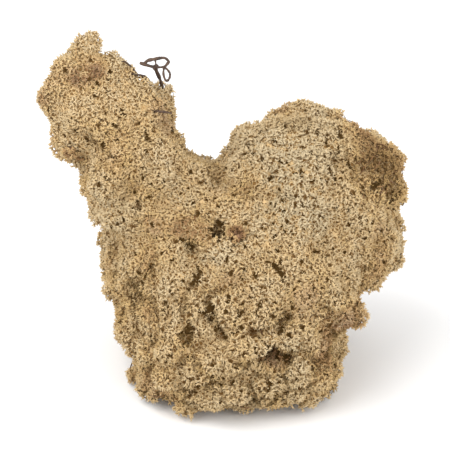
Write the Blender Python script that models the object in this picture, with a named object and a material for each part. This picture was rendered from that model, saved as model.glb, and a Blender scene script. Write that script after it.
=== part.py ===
"""A pulled clump of pale, bushy reindeer lichen, with the bits of litter that are caught in it.

The cushion grew as one piece, so it is one body: rounded masses that have run together, dotted all over
with cauliflower heads, with dark pits and grooves between the heads, and cut off flat where it stood on
the ground. A curled twig, a dry stem, a flake of bark and a bark crumb sit in it as pieces of their own.

Run it with blender --background --python part.py, or from the text editor. Everything is in metres, +Z
is up, the front is towards -Y, and the middle of the flat base is at the origin.
"""

import math
import random
from dataclasses import dataclass

import bmesh
import bpy
from mathutils import Matrix, Vector
from mathutils.bvhtree import BVHTree

# Driving dimensions of the cushion
WIDTH = 0.101
DEPTH = 0.084
HEIGHT = 0.093

# The heads that dot the masses: broad knolls first, then small cauliflower heads over them
KNOLL_RADIUS = 0.0090
KNOLL_SPACING = 0.0200
KNOLL_SINK = 0.60
HEAD_RADIUS = 0.0056
HEAD_SPACING = 0.0104
HEAD_SINK = 0.36
RADIUS_SPREAD = 0.32
MOST_HEAD_SHARE = 0.5
FLATTEST_HEAD = 0.8
PLACE_PLAY = 0.12
HEAD_SEED = 41

# How fine the body is fused, and how many triangles it ends with
FUSE_SIZE = 0.0013
FUSE_SMOOTHING = 1
BUMP_HEIGHT = 0.0010
BUMP_SIZE = 0.0045
BODY_TRIANGLES = 9000

# The line of sight that the pits and the litter are placed along, above the level
SIGHT_ELEVATION = math.radians(24.0)
SIGHT_DISTANCE = 0.3

# Litter: each piece clears the cushion by the gap
GAP = 0.0003
ROUND_SIDES = 1
CURVE_STEPS = 4

# The curled twig leans to the left on the ridge, with a flat bar on top and a hanging curl at the right
TWIG_THICKNESS = 0.0009
TWIG_PLACE = (-0.0168, 0.0100)
TWIG_SHAPE = (
    (0.0012, 0.0004, -0.0045),
    (0.0008, 0.0002, -0.0010),
    (-0.0004, 0.0000, 0.0026),
    (-0.0011, -0.0002, 0.0054),
    (-0.0022, -0.0006, 0.0082),
    (-0.0038, -0.0014, 0.0098),
    (-0.0052, -0.0024, 0.0112),
    (-0.0040, -0.0032, 0.0124),
    (-0.0018, -0.0028, 0.0127),
    (0.0004, -0.0020, 0.0127),
    (0.0017, -0.0015, 0.0116),
    (0.0010, -0.0018, 0.0099),
    (0.0012, -0.0026, 0.0084),
    (0.0022, -0.0036, 0.0076),
    (0.0014, -0.0046, 0.0066),
    (0.0002, -0.0042, 0.0074),
)
TWIG_SUNK_POINTS = 4

# The dry stem lies almost level across the slope: share of its length, and how far it bends off the skin
STEM_THICKNESS = 0.0009
STEM_LENGTH = 0.0078
STEM_PLACE = (-0.0170, 0.0680)
STEM_DIRECTION = Vector((1.0, 0.10, -0.12)).normalized()
STEM_LIFT = 0.00014
STEM_SHAPE = ((-0.5, -0.0012), (-0.2, 0.0), (0.15, 0.0001), (0.5, -0.0010))


@dataclass(frozen=True)
class Mass:
    """One rounded mass: centre and radii as shares of half the width, half the depth and the height."""

    name: str
    centre: tuple
    radii: tuple

    def place(self):
        """The centre and the radii in metres."""
        unit = (WIDTH / 2, DEPTH / 2, HEIGHT)
        centre = Vector(share * side for share, side in zip(self.centre, unit))
        radii = Vector(share * side for share, side in zip(self.radii, unit))
        return centre, radii


@dataclass(frozen=True)
class Chip:
    """A thin chip of bark, seen from the front: its size, where it is seen and its turn on the skin."""

    name: str
    size: tuple
    across: float
    up: float
    turn: float


@dataclass(frozen=True)
class Pit:
    """A dark hollow between heads, seen from the front: across and up in metres, its size and its turn."""

    across: float
    up: float
    wide: float
    high: float
    deep: float
    turn: float = 0.0


MASSES = (
    Mass("core", (0.04, 0.03, 0.28), (0.62, 0.76, 0.33)),
    Mass("hump", (0.41, 0.10, 0.50), (0.46, 0.62, 0.275)),
    Mass("high shoulder", (0.75, 0.16, 0.575), (0.20, 0.36, 0.13)),
    Mass("right shoulder", (0.71, 0.05, 0.40), (0.22, 0.42, 0.12)),
    Mass("front swell", (0.38, -0.38, 0.35), (0.32, 0.40, 0.17)),
    Mass("arm root", (-0.52, 0.19, 0.71), (0.27, 0.36, 0.13)),
    Mass("arm saddle", (-0.60, 0.24, 0.81), (0.22, 0.26, 0.09)),
    Mass("arm", (-0.68, 0.24, 0.745), (0.20, 0.32, 0.12)),
    Mass("arm underside", (-0.73, 0.22, 0.700), (0.14, 0.24, 0.075)),
    Mass("arm tip", (-0.88, 0.24, 0.80), (0.08, 0.12, 0.055)),
    Mass("ear", (-0.72, 0.28, 0.865), (0.165, 0.20, 0.08)),
    Mass("left shoulder", (-0.43, 0.02, 0.60), (0.25, 0.46, 0.16)),
    Mass("left flank", (-0.22, 0.00, 0.38), (0.29, 0.60, 0.28)),
    Mass("left foot", (-0.24, -0.05, 0.15), (0.27, 0.58, 0.24)),
    Mass("right foot", (0.38, -0.14, 0.15), (0.25, 0.53, 0.24)),
    Mass("front skirt", (0.08, -0.50, 0.19), (0.50, 0.33, 0.21)),
    Mass("back", (0.16, 0.50, 0.27), (0.57, 0.38, 0.28)),
    Mass("back left", (-0.33, 0.46, 0.34), (0.33, 0.36, 0.24)),
)

# The ear carries one small knob, and no other head is placed by hand
KNOB_CENTRE = Vector((-0.0338, 0.0120, 0.0901))
KNOB_RADIUS = 0.0035

PITS = (
    Pit(-0.0027, 0.0385, 0.0021, 0.0040, 0.0080),
    Pit(-0.0092, 0.0327, 0.0021, 0.0024, 0.0070),
    Pit(-0.0082, 0.0230, 0.0017, 0.0046, 0.0065, 0.5),
    Pit(-0.0050, 0.0150, 0.0018, 0.0034, 0.0060, -0.4),
    Pit(-0.0112, 0.0080, 0.0018, 0.0036, 0.0065, 0.2),
    Pit(0.0137, 0.0266, 0.0016, 0.0036, 0.0060, 0.7),
    Pit(0.0125, 0.0040, 0.0021, 0.0060, 0.0080, 0.9),
    Pit(0.0265, 0.0120, 0.0018, 0.0052, 0.0070, -0.5),
    Pit(0.0290, 0.0560, 0.0016, 0.0040, 0.0060, 0.1),
    Pit(-0.0310, 0.0560, 0.0018, 0.0032, 0.0060, -0.8),
    Pit(-0.0220, 0.0440, 0.0016, 0.0028, 0.0055, 0.3),
    Pit(0.0120, 0.0520, 0.0016, 0.0036, 0.0055, 0.2),
)

CHIPS = (
    Chip("bark_flake", (0.0042, 0.0034, 0.0011), 0.0030, 0.0362, 0.5),
    Chip("bark_crumb", (0.0026, 0.0020, 0.0012), -0.0405, 0.0575, 0.2),
)
CHIP_CLIP = (0.28, 0.22)
CHIP_BOW = 0.35


def clear_scene():
    """Removes whatever the scene starts with."""
    for obj in list(bpy.data.objects):
        bpy.data.objects.remove(obj, do_unlink=True)


def material(name, colour, roughness):
    """A Principled BSDF of one colour and roughness."""
    made = bpy.data.materials.new(name)
    made.use_nodes = True
    shader = made.node_tree.nodes["Principled BSDF"]
    shader.inputs["Base Color"].default_value = (*colour, 1.0)
    shader.inputs["Roughness"].default_value = roughness
    shader.inputs["Metallic"].default_value = 0.0
    return made


def add_object(name, data, finish=None):
    """An object in the scene, with its finish if it has one."""
    obj = bpy.data.objects.new(name, data)
    bpy.context.scene.collection.objects.link(obj)
    if finish is not None:
        data.materials.append(finish)
    return obj


def mesh_object(name, form, finish=None):
    """Turns a bmesh into an object and frees it."""
    bmesh.ops.recalc_face_normals(form, faces=form.faces)
    mesh = bpy.data.meshes.new(name)
    form.to_mesh(mesh)
    form.free()
    return add_object(name, mesh, finish)


def settle(obj):
    """Gives the object the mesh that its modifiers make, and clears them."""
    bpy.context.view_layer.update()
    graph = bpy.context.evaluated_depsgraph_get()
    made = bpy.data.meshes.new_from_object(obj.evaluated_get(graph))
    obj.modifiers.clear()
    obj.data = made
    made.name = obj.name


def as_cutter(obj):
    """Keeps an object out of the model and shows it as wire."""
    obj.hide_render = True
    obj.display_type = "WIRE"
    return obj


def cut(body, cutter):
    """Takes the cutter out of the body."""
    step = body.modifiers.new("cut " + cutter.name, "BOOLEAN")
    step.operation = "DIFFERENCE"
    step.object = cutter


def add_ball(form, centre, radii, detail):
    """Adds an icosphere of these radii to a bmesh."""
    place = Matrix.Translation(centre) @ Matrix.Diagonal((*radii, 1.0))
    bmesh.ops.create_icosphere(form, subdivisions=detail, radius=1.0, matrix=place)


def spread_over(radii, spacing, rng):
    """Unit directions about evenly spread over an ellipsoid, by the golden angle with a little play."""
    area = 4.0 * math.pi * (sum(radii) / 3.0) ** 2
    count = max(6, int(area / spacing**2))
    golden = math.pi * (3.0 - math.sqrt(5.0))
    start = rng.uniform(0.0, 2.0 * math.pi)
    for i in range(count):
        rise = 1.0 - 2.0 * (i + 0.5) / count
        reach = math.sqrt(1.0 - rise * rise)
        turn = start + i * golden
        play = Vector(rng.uniform(-PLACE_PLAY, PLACE_PLAY) for _ in range(3))
        yield (Vector((reach * math.cos(turn), reach * math.sin(turn), rise)) + play).normalized()


def add_heads(form, radius, spacing, sink, rng):
    """Dots each mass with heads of about this radius and spacing, sunk into its surface."""
    for mass in MASSES:
        centre, radii = mass.place()
        for direction in spread_over(radii, spacing, rng):
            size = radius * (1.0 + rng.uniform(-RADIUS_SPREAD, RADIUS_SPREAD))
            size = min(size, MOST_HEAD_SHARE * min(radii))
            surface = Vector(c * r for c, r in zip(direction, radii))
            middle = centre + surface - direction * size * sink
            squash = Vector((1.0, 1.0, rng.uniform(FLATTEST_HEAD, 1.0)))
            add_ball(form, middle, size * squash, 2)


def fuse(cushion):
    """Runs everything in the cushion's mesh together into one even skin."""
    step = cushion.modifiers.new("fuse", "REMESH")
    step.mode = "VOXEL"
    step.voxel_size = FUSE_SIZE


def soften(cushion):
    """Rounds off the creases where the heads meet."""
    step = cushion.modifiers.new("soften", "SMOOTH")
    step.iterations = FUSE_SMOOTHING


def roughen(cushion):
    """Lifts and sinks the skin a little, so that no head stays a clean ball."""
    grain = bpy.data.textures.new("small bumps", "CLOUDS")
    grain.noise_scale = BUMP_SIZE
    grain.noise_depth = 1
    step = cushion.modifiers.new("small bumps", "DISPLACE")
    step.texture = grain
    step.texture_coords = "LOCAL"
    step.strength = 2.0 * BUMP_HEIGHT
    step.mid_level = 0.5


def thin_out(cushion):
    """Merges the skin's small faces where they tell little."""
    triangles = sum(len(p.vertices) - 2 for p in cushion.data.polygons)
    step = cushion.modifiers.new("thin out", "DECIMATE")
    step.ratio = BODY_TRIANGLES / triangles


def grown_cushion(finish):
    """The masses and heads run together, with the pits sunk between them, before it is cut off flat."""
    form = bmesh.new()
    for mass in MASSES:
        centre, radii = mass.place()
        add_ball(form, centre, radii, 3)
    rng = random.Random(HEAD_SEED)
    add_heads(form, KNOLL_RADIUS, KNOLL_SPACING, KNOLL_SINK, rng)
    add_heads(form, HEAD_RADIUS, HEAD_SPACING, HEAD_SINK, rng)
    add_ball(form, KNOB_CENTRE, Vector((1.0, 1.0, 1.0)) * KNOB_RADIUS, 2)
    cushion = mesh_object("moss_cushion", form, finish)
    fuse(cushion)
    settle(cushion)
    fit_to_size(cushion)

    cut(cushion, pit_cutter(Skin(cushion)))
    fuse(cushion)
    soften(cushion)
    roughen(cushion)
    settle(cushion)
    fit_to_size(cushion)
    thin_out(cushion)
    settle(cushion)
    return cushion


def fit_to_size(cushion):
    """Stretches the skin above the ground to the driving width, depth and height, centred on the origin."""
    standing = [v.co for v in cushion.data.vertices if v.co.z >= 0.0]
    low = Vector(min(p[i] for p in standing) for i in range(3))
    high = Vector(max(p[i] for p in standing) for i in range(3))
    middle = Vector(((low.x + high.x) / 2, (low.y + high.y) / 2, 0.0))
    stretch = (WIDTH / (high.x - low.x), DEPTH / (high.y - low.y), HEIGHT / high.z)
    cushion.data.transform(Matrix.Diagonal((*stretch, 1.0)) @ Matrix.Translation(-middle))


class Skin:
    """Finds points on the cushion's skin, along the line of sight or from above."""

    def __init__(self, cushion):
        self.tree = BVHTree.FromPolygons(
            [v.co for v in cushion.data.vertices],
            [p.vertices for p in cushion.data.polygons],
        )
        self.sight = Vector((0.0, math.cos(SIGHT_ELEVATION), -math.sin(SIGHT_ELEVATION)))
        self.up = Vector((0.0, math.sin(SIGHT_ELEVATION), math.cos(SIGHT_ELEVATION)))

    def seen(self, across, up):
        """The point and the normal that are seen this far across and up from the middle of the base."""
        start = Vector((across, 0.0, 0.0)) + self.up * up - self.sight * SIGHT_DISTANCE
        point, normal, _, _ = self.tree.ray_cast(start, self.sight)
        return point, normal

    def below(self, x, y):
        """The point of the skin straight below this place."""
        return self.tree.ray_cast(Vector((x, y, SIGHT_DISTANCE)), Vector((0.0, 0.0, -1.0)))[0]


def facing(normal, turn=0.0):
    """A turn that points +Z along the normal and +X level across it, then turns about the normal."""
    side = Vector((0.0, 0.0, 1.0)).cross(normal).normalized()
    lift = normal.cross(side)
    frame = Matrix((side, lift, normal)).transposed().to_4x4()
    return frame @ Matrix.Rotation(turn, 4, "Z")


def pit_cutter(skin):
    """One cutter with a ball for each pit, stretched along the skin and sunk into it."""
    form = bmesh.new()
    for pit in PITS:
        point, normal = skin.seen(pit.across, pit.up)
        size = Matrix.Diagonal((pit.wide, pit.high, pit.deep, 1.0))
        place = Matrix.Translation(point) @ facing(normal, pit.turn) @ size
        bmesh.ops.create_icosphere(form, subdivisions=2, radius=1.0, matrix=place)
    return as_cutter(mesh_object("pits", form))


def ground_cutter():
    """A block below Z = 0, which leaves the flat cut that the clump rests on."""
    form = bmesh.new()
    block = Matrix.Translation((0.0, 0.0, -HEIGHT / 2)) @ Matrix.Diagonal((2 * WIDTH, 2 * DEPTH, HEIGHT, 1.0))
    bmesh.ops.create_cube(form, size=1.0, matrix=block)
    return as_cutter(mesh_object("ground", form))


def rod(name, points, thickness, finish=None):
    """A smooth round rod along the points, with closed ends."""
    data = bpy.data.curves.new(name, "CURVE")
    data.dimensions = "3D"
    data.bevel_depth = thickness / 2
    data.bevel_resolution = ROUND_SIDES
    data.use_fill_caps = True
    data.resolution_u = CURVE_STEPS
    line = data.splines.new("NURBS")
    line.points.add(len(points) - 1)
    for knot, place in zip(line.points, points):
        knot.co = (*place, 1.0)
    line.order_u = 4
    line.use_endpoint_u = True
    return add_object(name, data, finish)


def rod_socket(name, points, thickness):
    """The hollow that a rod lies in: the same rod, wider by the gap and longer by it at both ends."""
    first = points[0] + (points[0] - points[1]).normalized() * 2 * GAP
    last = points[-1] + (points[-1] - points[-2]).normalized() * 2 * GAP
    curve = rod(name, [first, *points[1:-1], last], thickness + 2 * GAP)
    bpy.context.view_layer.update()
    graph = bpy.context.evaluated_depsgraph_get()
    form = bmesh.new()
    form.from_mesh(curve.evaluated_get(graph).to_mesh())
    bmesh.ops.remove_doubles(form, verts=form.verts, dist=GAP / 100)
    bpy.data.objects.remove(curve, do_unlink=True)
    return as_cutter(mesh_object(name, form))


def add_twig(skin, cushion, finish):
    """The curled twig, with its foot in a socket."""
    foot = skin.below(*TWIG_PLACE)
    points = [foot + Vector(offset) for offset in TWIG_SHAPE]
    rod("curly_twig", points, TWIG_THICKNESS, finish)
    cut(cushion, rod_socket("twig socket", points[:TWIG_SUNK_POINTS], TWIG_THICKNESS))


def add_stem(skin, cushion, finish):
    """The dry stem, half sunk along the middle of its length."""
    middle, normal = skin.seen(*STEM_PLACE)
    middle += normal * STEM_LIFT
    points = [middle + STEM_DIRECTION * STEM_LENGTH * share + normal * bend for share, bend in STEM_SHAPE]
    rod("dry_stem", points, STEM_THICKNESS, finish)
    cut(cushion, rod_socket("stem socket", points, STEM_THICKNESS))


def chip_body(name, size, place, finish=None):
    """A thin plate with clipped corners and a bowed face, made to this size and put in its place."""
    form = bmesh.new()
    bmesh.ops.create_cube(form, size=1.0)
    bmesh.ops.subdivide_edges(form, edges=form.edges, cuts=2, use_grid_fill=True)
    for corner in form.verts:
        around = math.hypot(corner.co.x, corner.co.y)
        corner.co.x *= 1.0 - CHIP_CLIP[0] * around
        corner.co.y *= 1.0 - CHIP_CLIP[1] * around
        corner.co.z += CHIP_BOW * corner.co.x**2
    bmesh.ops.transform(form, matrix=place @ Matrix.Diagonal((*size, 1.0)), verts=form.verts)
    return mesh_object(name, form, finish)


def add_chip(chip, skin, cushion, finish):
    """A chip of bark lying in the skin, in a socket of its own shape."""
    point, normal = skin.seen(chip.across, chip.up)
    place = Matrix.Translation(point) @ facing(normal, chip.turn)
    chip_body(chip.name, chip.size, place, finish)
    roomy = [side + 2 * GAP for side in chip.size]
    cut(cushion, as_cutter(chip_body(chip.name + " socket", roomy, place)))


def main():
    """Grows the cushion, cuts it off flat, and puts the litter in it."""
    clear_scene()
    lichen = material("dry lichen", (0.50, 0.37, 0.20), 0.9)
    dark_bark = material("dark bark", (0.055, 0.030, 0.018), 0.8)
    brown_bark = material("brown bark", (0.16, 0.085, 0.045), 0.8)

    cushion = grown_cushion(lichen)
    skin = Skin(cushion)
    cut(cushion, ground_cutter())
    add_twig(skin, cushion, dark_bark)
    add_stem(skin, cushion, dark_bark)
    for chip in CHIPS:
        add_chip(chip, skin, cushion, brown_bark)


main()
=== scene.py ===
"""Finish of a dried reindeer lichen clump: its web of forked branches, its litter and the studio.

The solid cushion gives the outer form. The branches are grown from inside it up to its skin, as forks
at four depths: boughs, limbs, sprigs and stars. Each star is a whorl of short pale tips at the skin.
The tips of one sprig draw together, so dark gaps open between the sprigs, as on the real plant.
"""

from __future__ import annotations

import logging
import math
from dataclasses import dataclass
from dataclasses import field
from enum import Enum
from typing import Any

import bmesh
import bpy
import numpy as np
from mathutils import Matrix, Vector
from mathutils import noise
from mathutils.bvhtree import BVHTree
from mathutils.kdtree import KDTree

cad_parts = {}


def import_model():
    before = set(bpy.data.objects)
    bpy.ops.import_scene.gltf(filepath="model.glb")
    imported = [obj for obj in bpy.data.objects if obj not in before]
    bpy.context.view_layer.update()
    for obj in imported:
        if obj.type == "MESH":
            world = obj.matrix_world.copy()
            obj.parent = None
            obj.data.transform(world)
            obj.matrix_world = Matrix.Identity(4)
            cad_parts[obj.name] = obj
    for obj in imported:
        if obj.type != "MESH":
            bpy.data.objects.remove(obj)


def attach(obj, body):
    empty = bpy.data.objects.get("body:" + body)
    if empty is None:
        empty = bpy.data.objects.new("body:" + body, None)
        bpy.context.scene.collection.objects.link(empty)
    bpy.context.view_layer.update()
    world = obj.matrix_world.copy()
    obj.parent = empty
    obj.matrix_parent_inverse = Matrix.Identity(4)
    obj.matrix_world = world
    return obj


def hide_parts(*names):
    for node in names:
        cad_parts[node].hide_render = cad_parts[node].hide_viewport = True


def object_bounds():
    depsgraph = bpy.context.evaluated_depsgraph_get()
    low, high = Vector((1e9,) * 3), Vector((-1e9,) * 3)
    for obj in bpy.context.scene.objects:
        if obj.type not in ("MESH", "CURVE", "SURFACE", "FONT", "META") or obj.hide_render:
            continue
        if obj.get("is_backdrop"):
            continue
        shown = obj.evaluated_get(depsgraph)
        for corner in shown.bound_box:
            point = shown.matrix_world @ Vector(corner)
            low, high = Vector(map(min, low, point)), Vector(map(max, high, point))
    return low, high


LOG = logging.getLogger("lichen_clump")
MM = 0.001
BODY = "root"
CUSHION = "moss_cushion"
BAKE_MAP = "OFBake"
LIGHT_MAP = "light"
SIGHT_ELEVATION = math.radians(24.0)
SIGHT_DISTANCE = 0.535
ABOUT_A_TURN = 6.28

Array = np.ndarray
Colour = tuple[float, float, float, float]
Pair = tuple[float, float]
Rows = tuple[tuple[float, ...], ...]
Object = bpy.types.Object
Material = bpy.types.Material
Socket = bpy.types.NodeSocket


class Slot(Enum):
    """Material slots of the record."""

    LICHEN = "dry_lichen"
    DARK_BARK = "dark_bark"
    BROWN_BARK = "brown_bark"


class End(Enum):
    """How a strand ends at its last ring."""

    OPEN = "open"
    POINTED = "pointed"


def paint(red: float, green: float, blue: float) -> Colour:
    """Turn a screen colour of 0 to 255 a channel into the linear colour that shaders use.

    Args:
        red: Red channel.
        green: Green channel.
        blue: Blue channel.

    Returns:
        The linear colour, with full alpha.
    """
    linear = []
    for channel in (red, green, blue):
        value = channel / 255.0
        linear.append(value / 12.92 if value <= 0.04045 else ((value + 0.055) / 1.055) ** 2.4)
    return (linear[0], linear[1], linear[2], 1.0)


def unit(vectors: Array) -> Array:
    """Scale rows of vectors to length one."""
    return vectors / np.maximum(np.linalg.norm(vectors, axis=-1, keepdims=True), 1e-12)


def square_to(directions: Array) -> tuple[Array, Array]:
    """Find two directions that stand square to each given one and to each other.

    Args:
        directions: Unit vectors, one a row.

    Returns:
        Two arrays of unit vectors, of the same shape.
    """
    upright = np.abs(directions[..., 2:3]) < 0.8
    helper = np.where(upright, np.array((0.0, 0.0, 1.0)), np.array((1.0, 0.0, 0.0)))
    first = unit(np.cross(helper, directions))
    return first, np.cross(directions, first)


def soft_step(values: Array) -> Array:
    """Ease values from 0 to 1, flat at both ends."""
    held = np.clip(values, 0.0, 1.0)
    return held * held * (3.0 - 2.0 * held)


def cloud(places: Array, size: float, offset: float) -> Array:
    """Read smooth noise of about -1 to 1 at each place.

    Args:
        places: Points, one a row.
        size: Rough distance between one swell of the noise and the next.
        offset: Shift that gives a noise of its own.

    Returns:
        One value for each place.
    """
    shift = Vector((offset, 2.3 * offset, -1.7 * offset))
    return np.array([noise.noise(Vector(place) / size + shift) for place in places])


def tree_of(places: Array | list[Vector]) -> KDTree:
    """Sort places into a tree that finds the nearest of them."""
    tree = KDTree(len(places))
    for number, place in enumerate(places):
        tree.insert(place, number)
    tree.balance()
    return tree


def nearest(homes: Array, guests: Array) -> Array:
    """Find for each guest the number of its nearest home."""
    tree = tree_of(homes)
    return np.array([tree.find(place)[1] for place in guests])


def sight() -> tuple[Vector, Vector]:
    """Find the direction in which the front view looks, and the one that stands upright in it."""
    low, far = math.sin(SIGHT_ELEVATION), math.cos(SIGHT_ELEVATION)
    return Vector((0.0, far, -low)), Vector((0.0, low, far))


def merged_copy(source: Object) -> bmesh.types.BMesh:
    """Copy an object's mesh, with the corners that meet made one."""
    shape = bmesh.new()
    shape.from_mesh(source.data)
    bmesh.ops.remove_doubles(shape, verts=shape.verts, dist=0.001 * MM)
    return shape


def stand(name: str, mesh: bpy.types.Mesh, finish: Material) -> Object:
    """Make a mesh an object of the scene, all in one finish."""
    mesh.materials.append(finish)
    made = bpy.data.objects.new(name, mesh)
    bpy.context.scene.collection.objects.link(made)
    return made


def cast(name: str, shape: bmesh.types.BMesh, finish: Material) -> Object:
    """Make a shape an object of the scene, and free the shape."""
    mesh = bpy.data.meshes.new(name)
    shape.to_mesh(mesh)
    shape.free()
    return stand(name, mesh, finish)


class Board:
    """The node tree of one material."""

    def __init__(self, name: str, preview: Colour) -> None:
        """Make an empty material.

        Args:
            name: Name of the material.
            preview: Colour that the viewport shows.
        """
        self.material = bpy.data.materials.new(name)
        self.material.use_nodes = True
        self.material.diffuse_color = preview
        self.tree = self.material.node_tree
        self.tree.nodes.clear()

    def node(
        self,
        kind: str,
        settings: dict[str, Any] | None = None,
        inputs: dict[int | str, Any] | None = None,
        output: int | str = 0,
    ) -> Socket:
        """Add one node.

        Args:
            kind: Blender's name of the node type.
            settings: Values of the node itself, and stops for a ramp's colours.
            inputs: Values for its sockets, or the outputs that feed them, by number or name.
            output: Number or name of the socket to hand back.

        Returns:
            The chosen output.
        """
        made = self.tree.nodes.new(kind)
        for name, value in (settings or {}).items():
            if name == "stops":
                self._set_stops(made.color_ramp, value)
            else:
                setattr(made, name, value)
        for name, value in (inputs or {}).items():
            if isinstance(value, Socket):
                self.tree.links.new(value, made.inputs[name])
            else:
                made.inputs[name].default_value = value
        return made.outputs[output]

    @staticmethod
    def _set_stops(ramp: bpy.types.ColorRamp, stops: tuple[tuple[float, Colour], ...]) -> None:
        """Give a ramp its colours, as pairs of place and colour."""
        while len(ramp.elements) < len(stops):
            ramp.elements.new(0.5)
        for element, (place, colour) in zip(ramp.elements, stops):
            element.position = place
            element.color = colour

    def mix(self, share: Socket | float, first: Any, second: Any, blend: str = "MIX") -> Socket:
        """Mix two colours.

        Args:
            share: How much of the second colour, 0 to 1.
            first: The first colour, or the output that gives it.
            second: The second one.
            blend: Blender's name of the way of mixing.

        Returns:
            The mixed colour.
        """
        settings = {"data_type": "RGBA", "blend_type": blend}
        return self.node("ShaderNodeMix", settings, {0: share, 6: first, 7: second}, 2)

    def maths(self, operation: str, first: Socket | float, second: Socket | float) -> Socket:
        """Join two values by one sum."""
        return self.node("ShaderNodeMath", {"operation": operation}, {0: first, 1: second})

    def where(self) -> Socket:
        """Read the Object coordinates."""
        return self.node("ShaderNodeTexCoord", output="Object")

    def chart(self, name: str) -> tuple[Socket, Socket]:
        """Read the two numbers of one of the piece's own maps."""
        chart = self.node("ShaderNodeUVMap", {"uv_map": name})
        parts = self.node("ShaderNodeSeparateXYZ", {}, {0: chart}).node
        return parts.outputs[0], parts.outputs[1]

    def ease(self, value: Socket, low: float, high: float, way: str = "SMOOTHSTEP") -> Socket:
        """Lead a value from 0, where it is low, to 1, where it is high."""
        return self.node("ShaderNodeMapRange", {"interpolation_type": way}, {0: value, 1: low, 2: high})

    def grain(
        self, where: Socket, scale: float, detail: float = 2.0, distortion: float = 0.0, output: int = 0
    ) -> Socket:
        """Read noise, as a number or, at output 1, as a colour."""
        inputs = {"Vector": where, "Scale": scale, "Detail": detail, "Distortion": distortion}
        return self.node("ShaderNodeTexNoise", {}, inputs, output)

    def bump(self, height: Socket, strength: float, distance: float) -> Socket:
        """Turn a height into the direction of a rough surface."""
        inputs = {"Strength": strength, "Distance": distance, "Height": height}
        return self.node("ShaderNodeBump", {}, inputs)

    def surface(
        self, colour: Any, roughness: float, relief: Socket | None = None, shine: float = 0.5
    ) -> Material:
        """Lead the shader to the output and hand the material over.

        Args:
            colour: Base colour, or the output that gives it.
            roughness: Roughness of the surface.
            relief: Its bumpy direction, if it has one.
            shine: Strength of its gloss, 0.5 being usual.

        Returns:
            The finished material.
        """
        inputs = {"Base Color": colour, "Roughness": roughness, "Specular IOR Level": shine}
        if relief is not None:
            inputs["Normal"] = relief
        shader = self.node("ShaderNodeBsdfPrincipled", {}, inputs)
        output = self.tree.nodes.new("ShaderNodeOutputMaterial")
        self.tree.links.new(shader, output.inputs["Surface"])
        return self.material


@dataclass(frozen=True)
class LichenFinish:
    """Dry lichen, whose colour is set by two numbers in the piece's own map.

    The map's first number is the tint, from old purple-brown over pink-brown and straw to pale grey.
    Its second is the shade: painted shade from the dark inside of the cushion, whose colour is partly the
    brown of old stems and partly painted shade, to the pale end of a tip, which gets a painted highlight.
    Light that reaches the inside has bounced off other branches, so the middle shades are warmer.
    """

    name: str = "dry_lichen"
    # dark inside: partly the brown of old stems, partly painted shade
    depth: Colour = paint(51, 36, 12)
    tints: tuple[tuple[float, Colour], ...] = (
        (0.00, paint(104, 78, 62)),
        (0.20, paint(154, 119, 84)),
        (0.40, paint(188, 156, 112)),
        (0.50, paint(203, 174, 124)),
        (0.58, paint(203, 177, 134)),
        (0.78, paint(201, 181, 145)),
        (1.00, paint(201, 186, 156)),
    )
    # painted highlight: the best-lit tips are mixed towards this colour
    tip_highlight: Colour = paint(226, 212, 182)
    tip_highlight_share: float = 0.28
    bounce: Colour = (1.0, 0.86, 0.63, 1.0)
    inside: Pair = (0.0, 0.72)
    tip: Pair = (0.70, 1.0)
    roughness: float = 0.85
    shine: float = 0.04
    grain_scale: float = 5200.0
    bump: float = 0.25

    def make(self) -> Material:
        """Build the material."""
        board = Board(self.name, self.tints[4][1])
        tint, shade = board.chart(BAKE_MAP)
        own = board.node("ShaderNodeValToRGB", {"stops": self.tints}, {0: tint})
        # painted shade: the colour falls towards the dark inside as the shade number falls
        rise = board.ease(shade, *self.inside)
        own = board.mix(board.maths("SUBTRACT", 1.0, rise), own, self.bounce, "MULTIPLY")
        colour = board.mix(rise, self.depth, own)
        tip = board.maths("MULTIPLY", board.ease(shade, *self.tip), self.tip_highlight_share)
        colour = board.mix(tip, colour, self.tip_highlight)
        relief = board.bump(board.grain(board.where(), self.grain_scale), self.bump, 0.06 * MM)
        return board.surface(colour, self.roughness, relief, self.shine)


@dataclass(frozen=True)
class TangleFinish:
    """The tangle of old branches inside the cushion: a net of paler strands over dark brown gaps, partly
    painted shade.
    """

    name: str = "old_lichen"
    depth: Colour = paint(122, 92, 54)
    strand: Colour = paint(202, 173, 128)
    # painted shade: the colour that shut-in places, clefts and folds turn to, as the light map says
    dark: Colour = paint(80, 52, 23)
    net_scale: float = 1050.0
    bend_scale: float = 700.0
    bend: float = 0.0009
    strand_edges: Pair = (0.26, 0.04)
    lit: Pair = (0.10, 0.80)
    roughness: float = 0.95
    shine: float = 0.03

    def make(self) -> Material:
        """Build the material."""
        board = Board(self.name, self.strand)
        where = board.where()
        bends = board.grain(where, self.bend_scale, output=1)
        shift = board.node("ShaderNodeVectorMath", {"operation": "SCALE"}, {0: bends, "Scale": self.bend})
        bent = board.node("ShaderNodeVectorMath", {"operation": "ADD"}, {0: where, 1: shift})
        net = {"Vector": bent, "Scale": self.net_scale}
        cells = board.node("ShaderNodeTexVoronoi", {"feature": "DISTANCE_TO_EDGE"}, net)
        strands = board.ease(cells, *self.strand_edges)
        colour = board.mix(strands, self.depth, self.strand)
        # painted shade: darker where the light map is low
        light = board.chart(LIGHT_MAP)[0]
        colour = board.mix(board.ease(light, *self.lit, "LINEAR"), self.dark, colour)
        return board.surface(colour, self.roughness, board.bump(strands, 1.0, 0.4 * MM), self.shine)


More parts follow.
